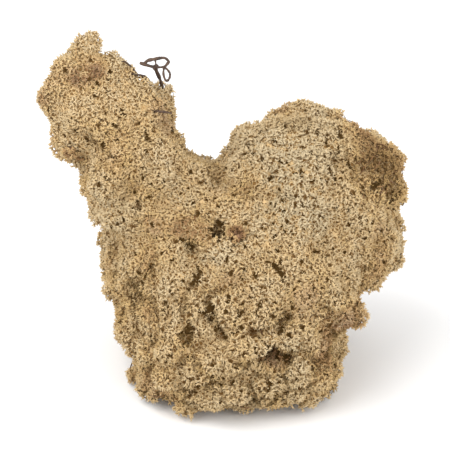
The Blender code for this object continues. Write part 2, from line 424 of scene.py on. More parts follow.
@dataclass(frozen=True)
class BarkFinish:
    """Weathered bark of the litter: long cracks of a darker colour with a little relief."""

    name: str
    dark: Colour
    light: Colour
    grain_scale: float
    crack_share: float = 0.4
    spread: Pair = (0.35, 0.65)
    bump: float = 0.7
    roughness: float = 0.8

    def make(self) -> Material:
        """Build the material."""
        board = Board(self.name, self.light)
        where = board.where()
        blotch = board.grain(where, self.grain_scale, 4.0)
        cracks = board.grain(where, 4.0 * self.grain_scale, 3.0, 1.2)
        coarse = board.maths("MULTIPLY", 1.0 - self.crack_share, blotch)
        fine = board.maths("MULTIPLY", self.crack_share, cracks)
        share = board.ease(board.maths("ADD", coarse, fine), *self.spread, "LINEAR")
        colour = board.mix(share, self.dark, self.light)
        return board.surface(colour, self.roughness, board.bump(cracks, self.bump, 0.15 * MM))


@dataclass
class SkinPoints:
    """Points on the cushion's skin.

    Attributes:
        places: Where they are, one a row.
        outward: Smoothed direction out of the cushion at each.
    """

    places: Array
    outward: Array

    def __len__(self) -> int:
        """Count the points."""
        return len(self.places)

    def only(self, wanted: Array) -> SkinPoints:
        """Keep the points that a mask or a list of numbers picks."""
        return SkinPoints(self.places[wanted], self.outward[wanted])


@dataclass
class Litter:
    """The caught bits of twig and bark, which the branches keep clear of.

    Attributes:
        nodes: Names of their solids.
        tree: The faces of all of them.
    """

    nodes: tuple[str, ...] = ("curly_twig", "dry_stem", "bark_flake", "bark_crumb")

    tree: BVHTree = field(init=False)

    def __post_init__(self) -> None:
        """Read the bits' solids."""
        corners: list[Vector] = []
        faces: list[list[int]] = []
        for node in self.nodes:
            mesh = bpy.data.objects[node].data
            first = len(corners)
            corners += [corner.co.copy() for corner in mesh.vertices]
            faces += [[first + number for number in face.vertices] for face in mesh.polygons]
        self.tree = BVHTree.FromPolygons(corners, faces)

    def clear(self, places: Array, gap: float) -> Array:
        """Find which places keep a distance from the bits."""
        return np.array([self.tree.find_nearest(Vector(place), gap)[0] is None for place in places])


@dataclass
class CushionSkin:
    """The outer form of the cushion, read from its solid.

    Attributes:
        litter: The bits that sit in the solid's sockets.
        node: Name of the solid.
        smoothing_rounds: How often each corner's outward direction is averaged with its neighbours'.
        socket_gap: Distance from the litter up to which a face of the solid is a socket's wall.
    """

    litter: Litter
    node: str = CUSHION
    smoothing_rounds: int = 3
    socket_gap: float = 0.45 * MM
    corners: Array = field(init=False)
    faces: Array = field(init=False)
    outward: Array = field(init=False)
    tree: BVHTree = field(init=False)
    plain_faces: Array = field(init=False)
    plain_tree: BVHTree = field(init=False)

    def __post_init__(self) -> None:
        """Read a merged copy of the solid's mesh, and another without the sockets."""
        shape = merged_copy(self.source())
        shape.verts.index_update()
        self.corners = np.array([corner.co for corner in shape.verts])
        self.faces = np.array([[corner.index for corner in face.verts] for face in shape.faces])
        edges = np.array([[corner.index for corner in edge.verts] for edge in shape.edges])
        shape.free()
        self.outward = self._smooth_outward(edges)
        self.tree = BVHTree.FromPolygons(self.corners.tolist(), self.faces.tolist())
        middles = self.corners[self.faces].mean(axis=1)
        self.plain_faces = self.faces[self.litter.clear(middles, self.socket_gap)]
        self.plain_tree = BVHTree.FromPolygons(self.corners.tolist(), self.plain_faces.tolist())

    def source(self) -> Object:
        """Find the solid's object."""
        return bpy.data.objects[self.node]

    def _spans(self) -> Array:
        """Find for each face the vector square to it that is twice its area long."""
        first, second, third = (self.corners[self.faces[:, side]] for side in range(3))
        return np.cross(second - first, third - first)

    def _smooth_outward(self, edges: Array) -> Array:
        """Average the faces' directions at each corner, then with the corners beside it."""
        areas = self._spans()
        outward = np.zeros_like(self.corners)
        for side in range(3):
            np.add.at(outward, self.faces[:, side], areas)
        outward = unit(outward)
        for _ in range(self.smoothing_rounds):
            total = outward.copy()
            np.add.at(total, edges[:, 0], outward[edges[:, 1]])
            np.add.at(total, edges[:, 1], outward[edges[:, 0]])
            outward = unit(total)
        return outward

    def candidates(self, amount: int, random: np.random.Generator) -> SkinPoints:
        """Throw points evenly over the skin.

        Args:
            amount: How many.
            random: Source of chance.

        Returns:
            The points, in no order.
        """
        areas = np.linalg.norm(self._spans(), axis=1)
        chosen = random.choice(len(self.faces), size=amount, p=areas / areas.sum())
        one, two = random.random(amount), random.random(amount)
        over = one + two > 1.0
        one[over], two[over] = 1.0 - one[over], 1.0 - two[over]
        shares = np.stack((1.0 - one - two, one, two), axis=1)[:, :, None]
        places = (self.corners[self.faces[chosen]] * shares).sum(axis=1)
        outward = unit((self.outward[self.faces[chosen]] * shares).sum(axis=1))
        return SkinPoints(places, outward)

    def area(self) -> float:
        """Measure the skin's area."""
        return float(np.linalg.norm(self._spans(), axis=1).sum() / 2.0)

    def scatter(self, spacing: float, random: np.random.Generator) -> SkinPoints:
        """Scatter points that keep a distance from each other.

        Args:
            spacing: Least distance between two points.
            random: Source of chance.

        Returns:
            The points that were kept.
        """
        tries = int(5.0 * self.area() / spacing**2)
        thrown = self.candidates(tries, random)
        tree = tree_of(thrown.places)
        free = np.ones(tries, bool)
        kept = []
        for number, place in enumerate(thrown.places):
            if free[number]:
                kept.append(number)
                for _, near, _ in tree.find_range(place, spacing):
                    free[near] = False
        return thrown.only(np.array(kept))

    def room_below(self, points: SkinPoints) -> Array:
        """Measure how thick the cushion is below each point, up to 60 mm, as if it had no sockets."""
        most = 60.0 * MM
        room = np.full(len(points), most)
        for number, (place, out) in enumerate(zip(points.places, points.outward)):
            wall = self.plain_tree.ray_cast(Vector(place - out * 0.2 * MM), Vector(-out), most)[3]
            room[number] = most if wall is None else wall + 0.2 * MM
        return room

    def at(self, places: Array) -> SkinPoints:
        """Find the points of the skin that are nearest to places."""
        found = []
        outward = []
        for place in places:
            point, _, face, _ = self.plain_tree.find_nearest(Vector(place))
            found.append(tuple(point))
            corners = self.plain_faces[face]
            outward.append(self.outward[corners].mean(axis=0))
        return SkinPoints(np.array(found), unit(np.array(outward)))

    def openness(self, points: SkinPoints, reach: float, rays: int = 12) -> Array:
        """Measure how open the sky is above each point.

        Args:
            points: Points on the skin.
            reach: How far a ray goes before it counts as free.
            rays: Rays sent from each point.

        Returns:
            For each point the share of rays that hit nothing, 0 to 1.
        """
        golden = math.pi * (3.0 - math.sqrt(5.0))
        heights = np.sqrt((np.arange(rays) + 0.7) / rays)
        turns = golden * np.arange(rays)
        flats = np.sqrt(1.0 - heights**2)
        side, other = square_to(points.outward)
        free = np.zeros(len(points))
        for height, turn, flat in zip(heights, turns, flats):
            ray = points.outward * height + (side * math.cos(turn) + other * math.sin(turn)) * flat
            for number, (place, out, aim) in enumerate(zip(points.places, points.outward, ray)):
                hit = self.tree.ray_cast(Vector(place + out * 0.4 * MM), Vector(aim), reach)[0]
                free[number] += hit is None
        return free / rays

    def inside(self, places: Array, margin: float) -> Array:
        """Find which places lie inside the cushion, at least a margin below its skin."""
        deep = []
        for place in places:
            point, normal, _, _ = self.tree.find_nearest(Vector(place))
            deep.append((point - Vector(place)).dot(normal) > margin)
        return np.array(deep, bool)

    def seen(self, across: float, up: float) -> Vector:
        """Find the place on the skin that the front view shows.

        Args:
            across: Millimetres to the right of the middle, as the view shows it.
            up: Millimetres above the middle of the base, as it shows it, level with the clump's middle.

        Returns:
            The nearest place on the skin along the line of sight.
        """
        away, high = sight()
        middle = Vector((0.0, 0.0, float(self.corners[:, 2].max()) / 2.0))
        eye = middle - away * SIGHT_DISTANCE
        aim = Vector((across * MM, 0.0, 0.0)) + high * (up * MM - middle.dot(high)) + away * SIGHT_DISTANCE
        aim.normalize()
        place = self.tree.ray_cast(eye, aim)[0]
        if place is None:
            place = self.tree.find_nearest(eye + aim * SIGHT_DISTANCE)[0]
        return place


@dataclass
class Web:
    """Corners, faces and map values of one piece, gathered from arrays.

    Attributes:
        corners: Blocks of corner places.
        chart: Blocks of tint and shade, one pair for each corner.
        faces: Blocks of triangles, as numbers of corners.
        count: Number of corners so far.
    """

    corners: list[Array] = field(default_factory=list)
    chart: list[Array] = field(default_factory=list)
    faces: list[Array] = field(default_factory=list)
    count: int = 0

    def add(self, corners: Array, chart: Array, faces: Array) -> None:
        """Add one block of corners with the triangles between them."""
        self.corners.append(corners)
        self.chart.append(chart)
        self.faces.append(faces + self.count)
        self.count += len(corners)

    def strands(
        self,
        points: Array,
        radii: Array,
        tints: Array,
        shades: Array,
        turns: Array,
        end: End = End.POINTED,
        sides: int = 3,
    ) -> None:
        """Add many thin branches at once.

        Args:
            points: Places of the rings, as branches by rings by 3.
            radii: Radius at each ring, as branches by rings.
            tints: Tint of each branch.
            shades: Shade at each ring, as branches by rings.
            turns: Turn of each branch about its own line.
            end: How the last ring ends.
            sides: Sides of each branch.
        """
        amount, rings = radii.shape
        if not amount:
            return
        forward = unit(np.gradient(points, axis=1))
        across, _ = square_to(unit(points[:, -1] - points[:, 0]))
        first = across[:, None, :] - (across[:, None, :] * forward).sum(-1, keepdims=True) * forward
        first = unit(first)
        second = np.cross(forward, first)
        angles = turns[:, None] + np.arange(sides) * 2.0 * math.pi / sides
        reach = (
            first[:, :, None, :] * np.cos(angles)[:, None, :, None]
            + second[:, :, None, :] * np.sin(angles)[:, None, :, None]
        )
        ring = points[:, :, None, :] + reach * radii[:, :, None, None]
        spread = (np.arange(sides) - (sides - 1) / 2.0) * 0.003
        chart = np.empty((amount, rings, sides, 2))
        chart[..., 0] = tints[:, None, None] + spread[None, None, :]
        chart[..., 1] = shades[:, :, None]
        whole = rings - 1 if end is End.POINTED else rings
        corners = ring[:, :whole].reshape(amount, -1, 3)
        values = chart[:, :whole].reshape(amount, -1, 2)
        own_faces = []
        for level in range(whole - 1):
            for side in range(sides):
                after = (side + 1) % sides
                low, low_after = level * sides + side, level * sides + after
                high, high_after = low + sides, low_after + sides
                own_faces.append((low, low_after, high_after))
                own_faces.append((low, high_after, high))
        last = (whole - 1) * sides
        if end is End.POINTED:
            corners = np.concatenate((corners, points[:, -1:, :]), axis=1)
            top = np.stack((tints, shades[:, -1]), axis=1)[:, None, :]
            values = np.concatenate((values, top), axis=1)
            for side in range(sides):
                own_faces.append((last + side, last + (side + 1) % sides, whole * sides))
        each = corners.shape[1]
        faces = np.array(own_faces)[None] + (np.arange(amount) * each)[:, None, None]
        self.add(corners.reshape(-1, 3), values.reshape(-1, 2), faces.reshape(-1, 3))

    def piece(self, name: str, material: Material, floor: float = 0.0) -> Object:
        """Turn the gathered arrays into one object.

        Args:
            name: Name of the piece.
            material: Its finish.
            floor: Lowest height that a corner may have.

        Returns:
            The new object.
        """
        corners = np.concatenate(self.corners)
        corners[:, 2] = np.maximum(corners[:, 2], floor)
        faces = np.concatenate(self.faces)
        chart = np.clip(np.concatenate(self.chart), 0.01, 0.99)
        mesh = bpy.data.meshes.new(name)
        mesh.vertices.add(len(corners))
        mesh.vertices.foreach_set("co", corners.astype(np.float32).ravel())
        mesh.loops.add(faces.size)
        mesh.loops.foreach_set("vertex_index", faces.astype(np.int32).ravel())
        mesh.polygons.add(len(faces))
        mesh.polygons.foreach_set("loop_start", np.arange(0, faces.size, 3, dtype=np.int32))
        mesh.update(calc_edges=True)
        mesh.shade_smooth()
        layer = mesh.uv_layers.new(name=BAKE_MAP)
        layer.uv.foreach_set("vector", chart[faces.ravel()].astype(np.float32).ravel())
        return stand(name, mesh, material)


def hand_in(piece: Object, slot: Slot, *nodes: str) -> None:
    """Tie a piece to the frame and report it.

    Args:
        piece: The finished object.
        slot: Material slot of the record that it belongs to; not used.
        nodes: Solids that it stands for.
    """
    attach(piece, BODY)
    if nodes:
        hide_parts(*nodes)
    LOG.info("%s: %d faces", piece.name, len(piece.data.polygons))


@dataclass
class Relief:
    """The low relief of the branch tips below the solid's skin: lobes with narrow clefts, and swells.

    Attributes:
        skin: The cushion's skin.
        lobe_spacing: Distance between the middles of two lobes.
        cleft_depth: Depth of the clefts between lobes.
        cleft_width: Distance over which a cleft closes.
        dome: Fall of a lobe from its middle to its edge.
        swell_size: Distance between the small swells on the lobes.
        swell_depth: Depth of the hollows between the swells.
        lobed_below: Height below which the clefts are strong.
        fringes: Places where loose tips stand out, each as its place in the front view, its reach
            and its height, all in millimetres.
        folds: Soft folds between lobes, each as the points of its line in the front view, in millimetres.
        fold_width, fold_depth: Half the width of a fold, and its depth.
        shade_and_light_spots: Places of painted shade, each as its place in the front view, its reach in
            millimetres, and how much it darkens the lichen's light, which is below 0 for painted light.
            fringe_core, shade_spot_core: Steepness of a fringe's edge and of the edge of a place of painted
                shade, where
            1 would reach full strength only at the middle.
        plain_light: Painted light of an open place, before its painted shade.
        shut_reach: Distance up to which other parts of the clump shut out the light.
        shut_shade, cleft_shade, hollow_shade, edge_shade, fold_shade: How dark a shut-in place, a cleft,
            a hollow, a lobe's edge and a fold are.
        fringe_shine: Share of the shadow that a fringe stands clear of.
        clouds: Drifts of light and shade, each as its strength, its size and its shift.
        seed: Start of the chances.
    """

    skin: CushionSkin
    lobe_spacing: float = 7.6 * MM
    cleft_depth: float = 2.2 * MM
    cleft_width: float = 0.50 * MM
    dome: float = 0.95 * MM
    swell_size: float = 4.6 * MM
    swell_depth: float = 0.9 * MM
    lobed_below: float = 52.0 * MM
    fringes: Rows = (
        (-35.6, 89.5, 5, 0.6), (-39.5, 87, 5, 1.2), (-44, 82, 6, 0.4), (-29.5, 82.5, 7, 2),
        (-25.5, 79.5, 5, 0.8), (-20.8, 76.2, 5.5, 1.4), (-17.2, 74, 5.5, 3.2), (-46.8, 76.5, 7, 1.4),
        (-45.2, 57.6, 5, 2), (-11.6, 6, 6, 2.8), (-9.6, 32.2, 4.4, 2), (-4.2, 37.6, 2.8, 1.4),
        (10.5, 5.6, 4, 1.8), (13.5, 1.6, 3.5, 1.2), (-19.6, 67.8, 4, 0.9), (29.6, 56, 3.4, 1.2),
        (2, 12.6, 5.2, 0.7), (11, 19.6, 6.2, 0.8), (-8.5, 51.5, 6.4, 0.6), (-15.5, 22.4, 5.6, 0.8),
    )
    folds: tuple[tuple[Pair, ...], ...] = (
        ((-5, 33), (-7, 29), (-6.6, 26), (-8.6, 22.6), (-12, 19.5), (-16, 17.5)),
        ((-8.6, 22.6), (-5.5, 18.5), (-4.3, 15.8), (-7, 13), (-10.3, 11.5), (-10.4, 7), (-11, 3.5)),
        ((-4.3, 15.8), (-3, 11), (0, 7.8), (3, 6)), ((3, 6), (6.5, 9.5), (10.5, 6.8), (13.5, 3.4)),
        ((11, 29.5), (13.2, 27), (15.6, 25), (19, 23.5)),
        ((-19, 30), (-20.5, 27.6), (-22.3, 24), (-26, 21.5)), ((1.2, 19.4), (5, 15.8), (3.6, 13.6)),
        ((15.6, 25), (15.2, 20.2), (17.6, 14.8), (14.6, 9.2), (14, 5)),
        ((-16, 17.5), (-15, 12.5), (-18, 9)), ((34.5, 53.5), (38, 46), (42, 50), (46, 45)),
        ((31, 66), (31.5, 62), (33.4, 57), (35, 53)),
        ((-21, 65), (-20.3, 61), (-20, 56.5), (-18.6, 53)), ((-39, 57.5), (-36, 60), (-33, 59.3)),
    )
    fold_width: float = 1.15 * MM
    fold_depth: float = 0.8 * MM
    # painted shade at each listed place, and painted light where its amount is below 0
    shade_and_light_spots: Rows = (
        (43, 56, 17, 0.54), (36, 66, 9, 0.12), (34, 8, 9, 0.22), (-22, 45, 17, 0.11),
        (-40, 60, 10, 0.1), (-26, 15, 9, 0.3), (-10, 37.5, 6, 0.16), (-9, 26, 5, 0.1),
        (-23, 17, 8, 0.16), (-38, 53, 8, 0.24), (-28, 46, 8, 0.18), (-24, 51, 10, 0.24),
        (-31, 64, 14, 0.08), (19, 58, 26, 0.09), (20, 66, 9, 0.38), (26, 40, 7, 0.36), (5, 48, 6, 0.3),
        (-10.3, 9.7, 2.6, 0.9), (-10.5, 8.6, 2.6, 0.9), (-8.9, 32.8, 2.6, 0.8), (-10.2, 7.4, 2, 0.7),
        (-20, 30, 6, 0.08), (-4, 31, 4, 0.06), (12, 46, 6, 0.09), (4, 17, 21, -0.28),
        (13, 15, 10, -0.24), (21, 10, 9, -0.22), (37, 33, 9, -0.26), (-10, 50, 9, -0.46),
        (-9, 22, 8, -0.2), (28, 53, 6, -0.18), (-38, 85, 7, -0.14), (-1, 30.5, 6, -0.24),
        (-15.5, 22, 8, -0.34), (12, 20, 8, -0.36), (34, 25, 8, -0.24), (-18, 60, 7, -0.08),
        (7, 36, 5, -0.1), (2, 12.6, 6, -0.36), (-16, 66, 5, -0.12), (44, 46, 8, 0.12),
        (12, 46, 6, 0.06),
    )
    fringe_core: float = 1.25
    shade_spot_core: float = 1.2
    plain_light: float = 1.09
    shut_reach: float = 9.0 * MM
    shut_shade: float = 0.80
    cleft_shade: float = 0.85
    hollow_shade: float = 0.22
    edge_shade: float = 0.14
    fold_shade: float = 0.36
    fringe_shine: float = 0.85
    clouds: Rows = ((0.12, 4.0 * MM, 57.0), (0.17, 13.0 * MM, 71.0))
    seed: int = 5
    middles: KDTree = field(init=False)
    raised: list[tuple[Array, float, float]] = field(init=False)
    shade_and_light_marks: list[tuple[Array, float, float]] = field(init=False)
    creases: KDTree = field(init=False)
    crease_strengths: Array = field(init=False)

    def __post_init__(self) -> None:
        """Scatter the lobes and find the folds, the fringes and the dull places on the skin."""
        self._lay_folds()
        self.raised = [(place, reach, height * MM) for place, reach, height in self._marks(self.fringes)]
        self.shade_and_light_marks = self._marks(self.shade_and_light_spots)
        lobes = self.skin.scatter(self.lobe_spacing, np.random.default_rng(self.seed))
        self.middles = tree_of(lobes.places)

    def _marks(self, rows: Rows) -> list[tuple[Array, float, float]]:
        """Find the places on the skin of rows that start with a place in the front view and a reach."""
        seen = self.skin.seen
        return [(np.array(seen(across, up)), reach * MM, amount) for across, up, reach, amount in rows]

    def _lay_folds(self) -> None:
        """Follow the folds over the skin in short steps, weaker towards their ends."""
        places = []
        strengths = []
        for fold in self.folds:
            points = np.array(fold)
            lengths = np.linalg.norm(np.diff(points, axis=0), axis=1)
            marks = np.concatenate(((0.0,), np.cumsum(lengths)))
            steps = np.linspace(0.0, marks[-1], int(marks[-1] / 0.5))
            across = np.interp(steps, marks, points[:, 0])
            up = np.interp(steps, marks, points[:, 1])
            places += [self.skin.seen(x, y) for x, y in zip(across, up)]
            strengths.append(1.0 - 0.65 * np.abs(2.0 * steps / marks[-1] - 1.0) ** 3)
        self.crease_strengths = np.concatenate(strengths)
        self.creases = tree_of(places)

    def fold(self, places: Array) -> Array:
        """Work out how far each place lies in a fold, 0 beside it to 1 at its bottom."""
        found = [self.creases.find(place) for place in places]
        gaps = np.array([distance for _, _, distance in found])
        strength = self.crease_strengths[[number for _, number, _ in found]]
        return strength * np.exp(-((gaps / self.fold_width) ** 2))

    def cleft(self, places: Array, spread: float = 1.0) -> Array:
        """Work out how far each place lies in a cleft, 0 on a lobe to 1 at a cleft's bottom.

        Args:
            places: Points, one a row.
            spread: How many times wider than usual the clefts are.

        Returns:
            One value for each place.
        """
        gaps = np.empty(len(places))
        for number, place in enumerate(places):
            (_, _, first), (_, _, second) = self.middles.find_n(place, 2)
            gaps[number] = second - first
        low = self.lobed(places)
        depth = 0.08 + 0.62 * low + (0.45 + 0.35 * low) * cloud(places, 6.5 * MM, 41.0)
        depth = np.clip(depth, 0.04, 1.0)
        return depth * np.exp(-gaps / self.cleft_width / spread / 2.0)

    def drop(self, places: Array, spread: float = 1.0) -> Array:
        """Work out how far the tips stay below the skin at each place, with clefts that wide."""
        distance = np.array([self.middles.find(place)[2] for place in places])
        dome = self.dome * (0.35 + 0.65 * self.lobed(places))
        fall = dome * np.minimum(distance / (0.6 * self.lobe_spacing), 1.2) ** 2
        drop = self.cleft_depth * self.cleft(places, spread) + fall + self.swell_depth * self.hollow(places)
        share, height = self.rise(places)
        return drop * (1.0 - share) - height + self.fold_depth * self.fold(places)

    def rise(self, places: Array) -> tuple[Array, Array]:
        """Work out how fully each place belongs to a fringe, 0 to 1, and how high the fringe lifts it."""
        most = np.zeros(len(places))
        height = np.zeros(len(places))
        for middle, reach, top in self.raised:
            share = soft_step(self.fringe_core * (1.0 - np.linalg.norm(places - middle, axis=1) / reach))
            most = np.maximum(most, share)
            height = np.maximum(height, top * share)
        return most, height

    def lobed(self, places: Array) -> Array:
        """Work out how strong the lobes are at each place, 0 above to 1 below."""
        return soft_step((self.lobed_below - places[:, 2]) / (24.0 * MM))

    def hollow(self, places: Array) -> Array:
        """Work out how far each place lies in a hollow between two swells, 0 to 1."""
        return np.clip(0.1 - 1.3 * cloud(places, self.swell_size, 21.0), 0.0, 1.0)

    def light(self, points: SkinPoints) -> Array:
        """Work out the painted light of the lichen at each point, with painted shade where it is shut in, in
        clefts, hollows and folds, and at lobes' edges.
        """
        places = points.places
        shadow = self.shut_shade * (1.0 - self.skin.openness(points, self.shut_reach))
        shadow += self.cleft_shade * self.cleft(places) + self.hollow_shade * self.hollow(places)
        edge = np.array([self.middles.find(place)[2] for place in places]) / self.lobe_spacing
        shadow += self.edge_shade * self.lobed(places) * np.minimum(2.0 * edge, 1.2) ** 2
        shadow *= 1.0 - self.fringe_shine * self.rise(places)[0]
        shadow += self.fold_shade * self.fold(places)
        light = self.plain_light - shadow
        for strength, size, shift in self.clouds:
            light += strength * cloud(places, size, shift)
        # painted shade and painted light at the listed places
        for middle, reach, amount in self.shade_and_light_marks:
            share = soft_step(self.shade_spot_core * (1.0 - np.linalg.norm(places - middle, axis=1) / reach))
            light *= 1.0 - amount * share
        return light


@dataclass(frozen=True)
class Patch:
    """A soft-edged patch of the clump with a tint or an age of its own.

    Attributes:
        middle: Centre of the patch.
        reach: Distance at which it has faded out.
        tint: Tint that the lichen turns to.
        age: How far its branches are bare old growth, 0 to 1.
        strength: How strongly it takes over at its middle.
    """

    middle: Vector
    reach: float
    tint: float
    age: float = 0.0
    strength: float = 1.0

    def share(self, places: Array) -> Array:
        """Work out how strongly the patch acts at each place."""
        distance = np.linalg.norm(places - np.array(self.middle), axis=1)
        return self.strength * soft_step(1.0 - distance / self.reach)


@dataclass
class Growth:
    """Tint and age of the lichen over the whole clump.

    Attributes:
        skin: The cushion's skin, on which the patches lie.
        plain_tint: Tint of the ordinary branches.
        clouds: Drifts of slightly other colour, each as its strength, its size and its shift.
        marks: Patches of the seen side, each as its place in the front view and its reach in
            millimetres, its tint, its age and its strength.
        back_marks: Patches of the back, each as x, y, z and reach in millimetres, tint and age.
        patches: All the patches, on the skin.
        combed_patch: Where the branches stand upright and bare.
    """

    skin: CushionSkin
    plain_tint: float = 0.56
    clouds: Rows = ((0.26, 11.0 * MM, 3.0), (0.09, 11.0 * MM / 3.0, 7.0))
    marks: Rows = (
        (17, 54, 30, 0.86, 0, 0.9), (-38.4, 84, 12, 0.5, 0, 1), (-36, 88, 5, 0.8, 0, 0.8),
        (-32, 66, 16, 0.5, 0, 0.6), (-35, 79.8, 6, 0.1, 0, 1), (-39.6, 77.4, 4.5, 0.14, 0, 1),
        (-19.5, 38, 4.5, 0.24, 0, 0.8), (-11, 37.5, 5.5, 0.16, 0, 0.9), (-4, 34, 4.5, 0.22, 0, 0.7),
        (0.5, 25, 6.5, 0.26, 0, 0.8), (-21, 14.5, 6.5, 0.3, 0, 0.6), (-15.5, 22.5, 7, 0.72, 0, 0.8),
        (12, 20, 7, 0.68, 0, 0.6), (5, 48, 8, 0.3, 0, 0.6), (-50, 72, 4.5, 0.28, 0, 0.9),
        (-39.4, 56, 3.4, 0.2, 0, 1), (24, 40, 10, 0.95, 0, 0.8), (-0.5, 30.5, 8, 0.85, 0, 0.8),
        (42, 56, 19, 0.38, 0.45, 0.85), (36, 68, 11, 0.26, 0.3, 0.8), (3, 36.2, 4.5, 0.26, 0, 0.8),
        (-5, 5, 8, 0.68, 0, 0.8), (33, 11, 10, 0.2, 0, 1), (28, 3, 9, 0.15, 0, 0.8),
        (23.7, 19, 8, 0.34, 0, 0.7), (13, 3.5, 7, 0.12, 0.5, 1), (-7, 37, 6, 0.25, 0.3, 0.8),
        (-3, 46, 8, 0.3, 0, 0.6), (-22, 26, 8, 0.3, 0, 0.5),
    )
    back_marks: Rows = (
        (0, 40, 16, 34, 0.05, 0.9), (30, 34, 46, 16, 0.12, 0.6), (-20, 20, 60, 14, 0.15, 0.5),
    )
    patches: list[Patch] = field(init=False)
    combed_patch: Patch = field(init=False)

    def __post_init__(self) -> None:
        """Lay the patches on the skin, those of the seen side by where the front view shows them."""
        seen = self.skin.seen
        self.patches = []
        for across, up, reach, tint, age, strength in self.marks:
            self.patches.append(Patch(seen(across, up), reach * MM, tint, age, strength))
        for x, y, z, reach, tint, age in self.back_marks:
            self.patches.append(Patch(Vector((x, y, z)) * MM, reach * MM, tint, age))
        self.combed_patch = Patch(seen(19.0, 66.0), 13.0 * MM, self.plain_tint)

    def combed(self, places: Array) -> Array:
        """Work out how strongly the branches stand upright and bare at each place."""
        return self.combed_patch.share(places)

    def tint(self, places: Array) -> Array:
        """Work out the tint at each place."""
        tint = np.full(len(places), self.plain_tint)
        for strength, size, shift in self.clouds:
            tint += strength * cloud(places, size, shift)
        for patch in self.patches:
            share = patch.share(places)
            tint = tint * (1.0 - share) + patch.tint * share
        return tint

    def age(self, places: Array) -> Array:
        """Work out how old and bare the branches are at each place."""
        age = soft_step((7.0 * MM - places[:, 2]) / (7.0 * MM)) * 0.5
        for patch in self.patches:
            age = np.maximum(age, patch.age * patch.share(places) / patch.strength)
        return age


@dataclass
class Forks:
    """Forks of the branches at one depth.

    Attributes:
        skin: Points of the skin that the forks grow towards.
        places: Where the forks are.
        below: Number of the deeper fork that each one grows from.
    """

    skin: SkinPoints
    places: Array
    below: Array


@dataclass
class Holes:
    """Pinholes and slits that lead down between the branches.

    Attributes:
        skin: Points of the skin at their middles.
        radii: Radius of each.
        stretch: How many times longer than its radius each is, and how many times narrower.
        long_way: Direction of each one's length.
        scattered: Whether each is a pinhole, and not a step of a slit.
    """

    skin: SkinPoints
    radii: Array
    stretch: Array
    long_way: Array
    scattered: Array

    def only(self, wanted: Array) -> Holes:
        """Keep the holes that a mask picks."""
        parts = (self.radii, self.stretch, self.long_way, self.scattered)
        return Holes(self.skin.only(wanted), *(part[wanted] for part in parts))

    def part(self, places: Array, above: Array) -> Array:
        """Push places aside where a hole leads down between them.

        Args:
            places: The places, one a row.
            above: The point of the skin above each.

        Returns:
            The moved places.
        """
        chosen = nearest(self.skin.places, above)
        away = above - self.skin.places[chosen]
        along = (away * self.long_way[chosen]).sum(1)
        across = np.sqrt(np.maximum((away * away).sum(1) - along**2, 0.0))
        stretch = self.stretch[chosen]
        distance = np.maximum(np.hypot(along / stretch, across * stretch), 0.02 * MM)
        radius = self.radii[chosen]
        push = (np.hypot(distance, radius) / distance - 1.0) * (distance < 4.0 * radius)
        return places + away * push[:, None]


@dataclass
class Stars:
    """Whorls of tips at the skin.

    Attributes:
        nodes: Where each forks.
        out: Direction in which each faces.
        roots: Where the sprig forks that each grows from.
        tint: Tint of each.
        light: How much painted light each gets, with painted shade where its place is shut in and towards its
            sprig's edge.
    """

    nodes: Array
    out: Array
    roots: Array
    tint: Array
    light: Array

    def __len__(self) -> int:
        """Count the stars."""
        return len(self.nodes)


@dataclass(frozen=True)
class StemKind:
    """A kind of loose stem, with the least and the most of each size.

    Attributes:
        low_lean, high_lean: Lean of the lower and of the upper half, in degrees.
        length: Length of a half, in millimetres.
        radius: Usual radius.
    """

    low_lean: Pair
    high_lean: Pair
    length: Pair
    radius: float


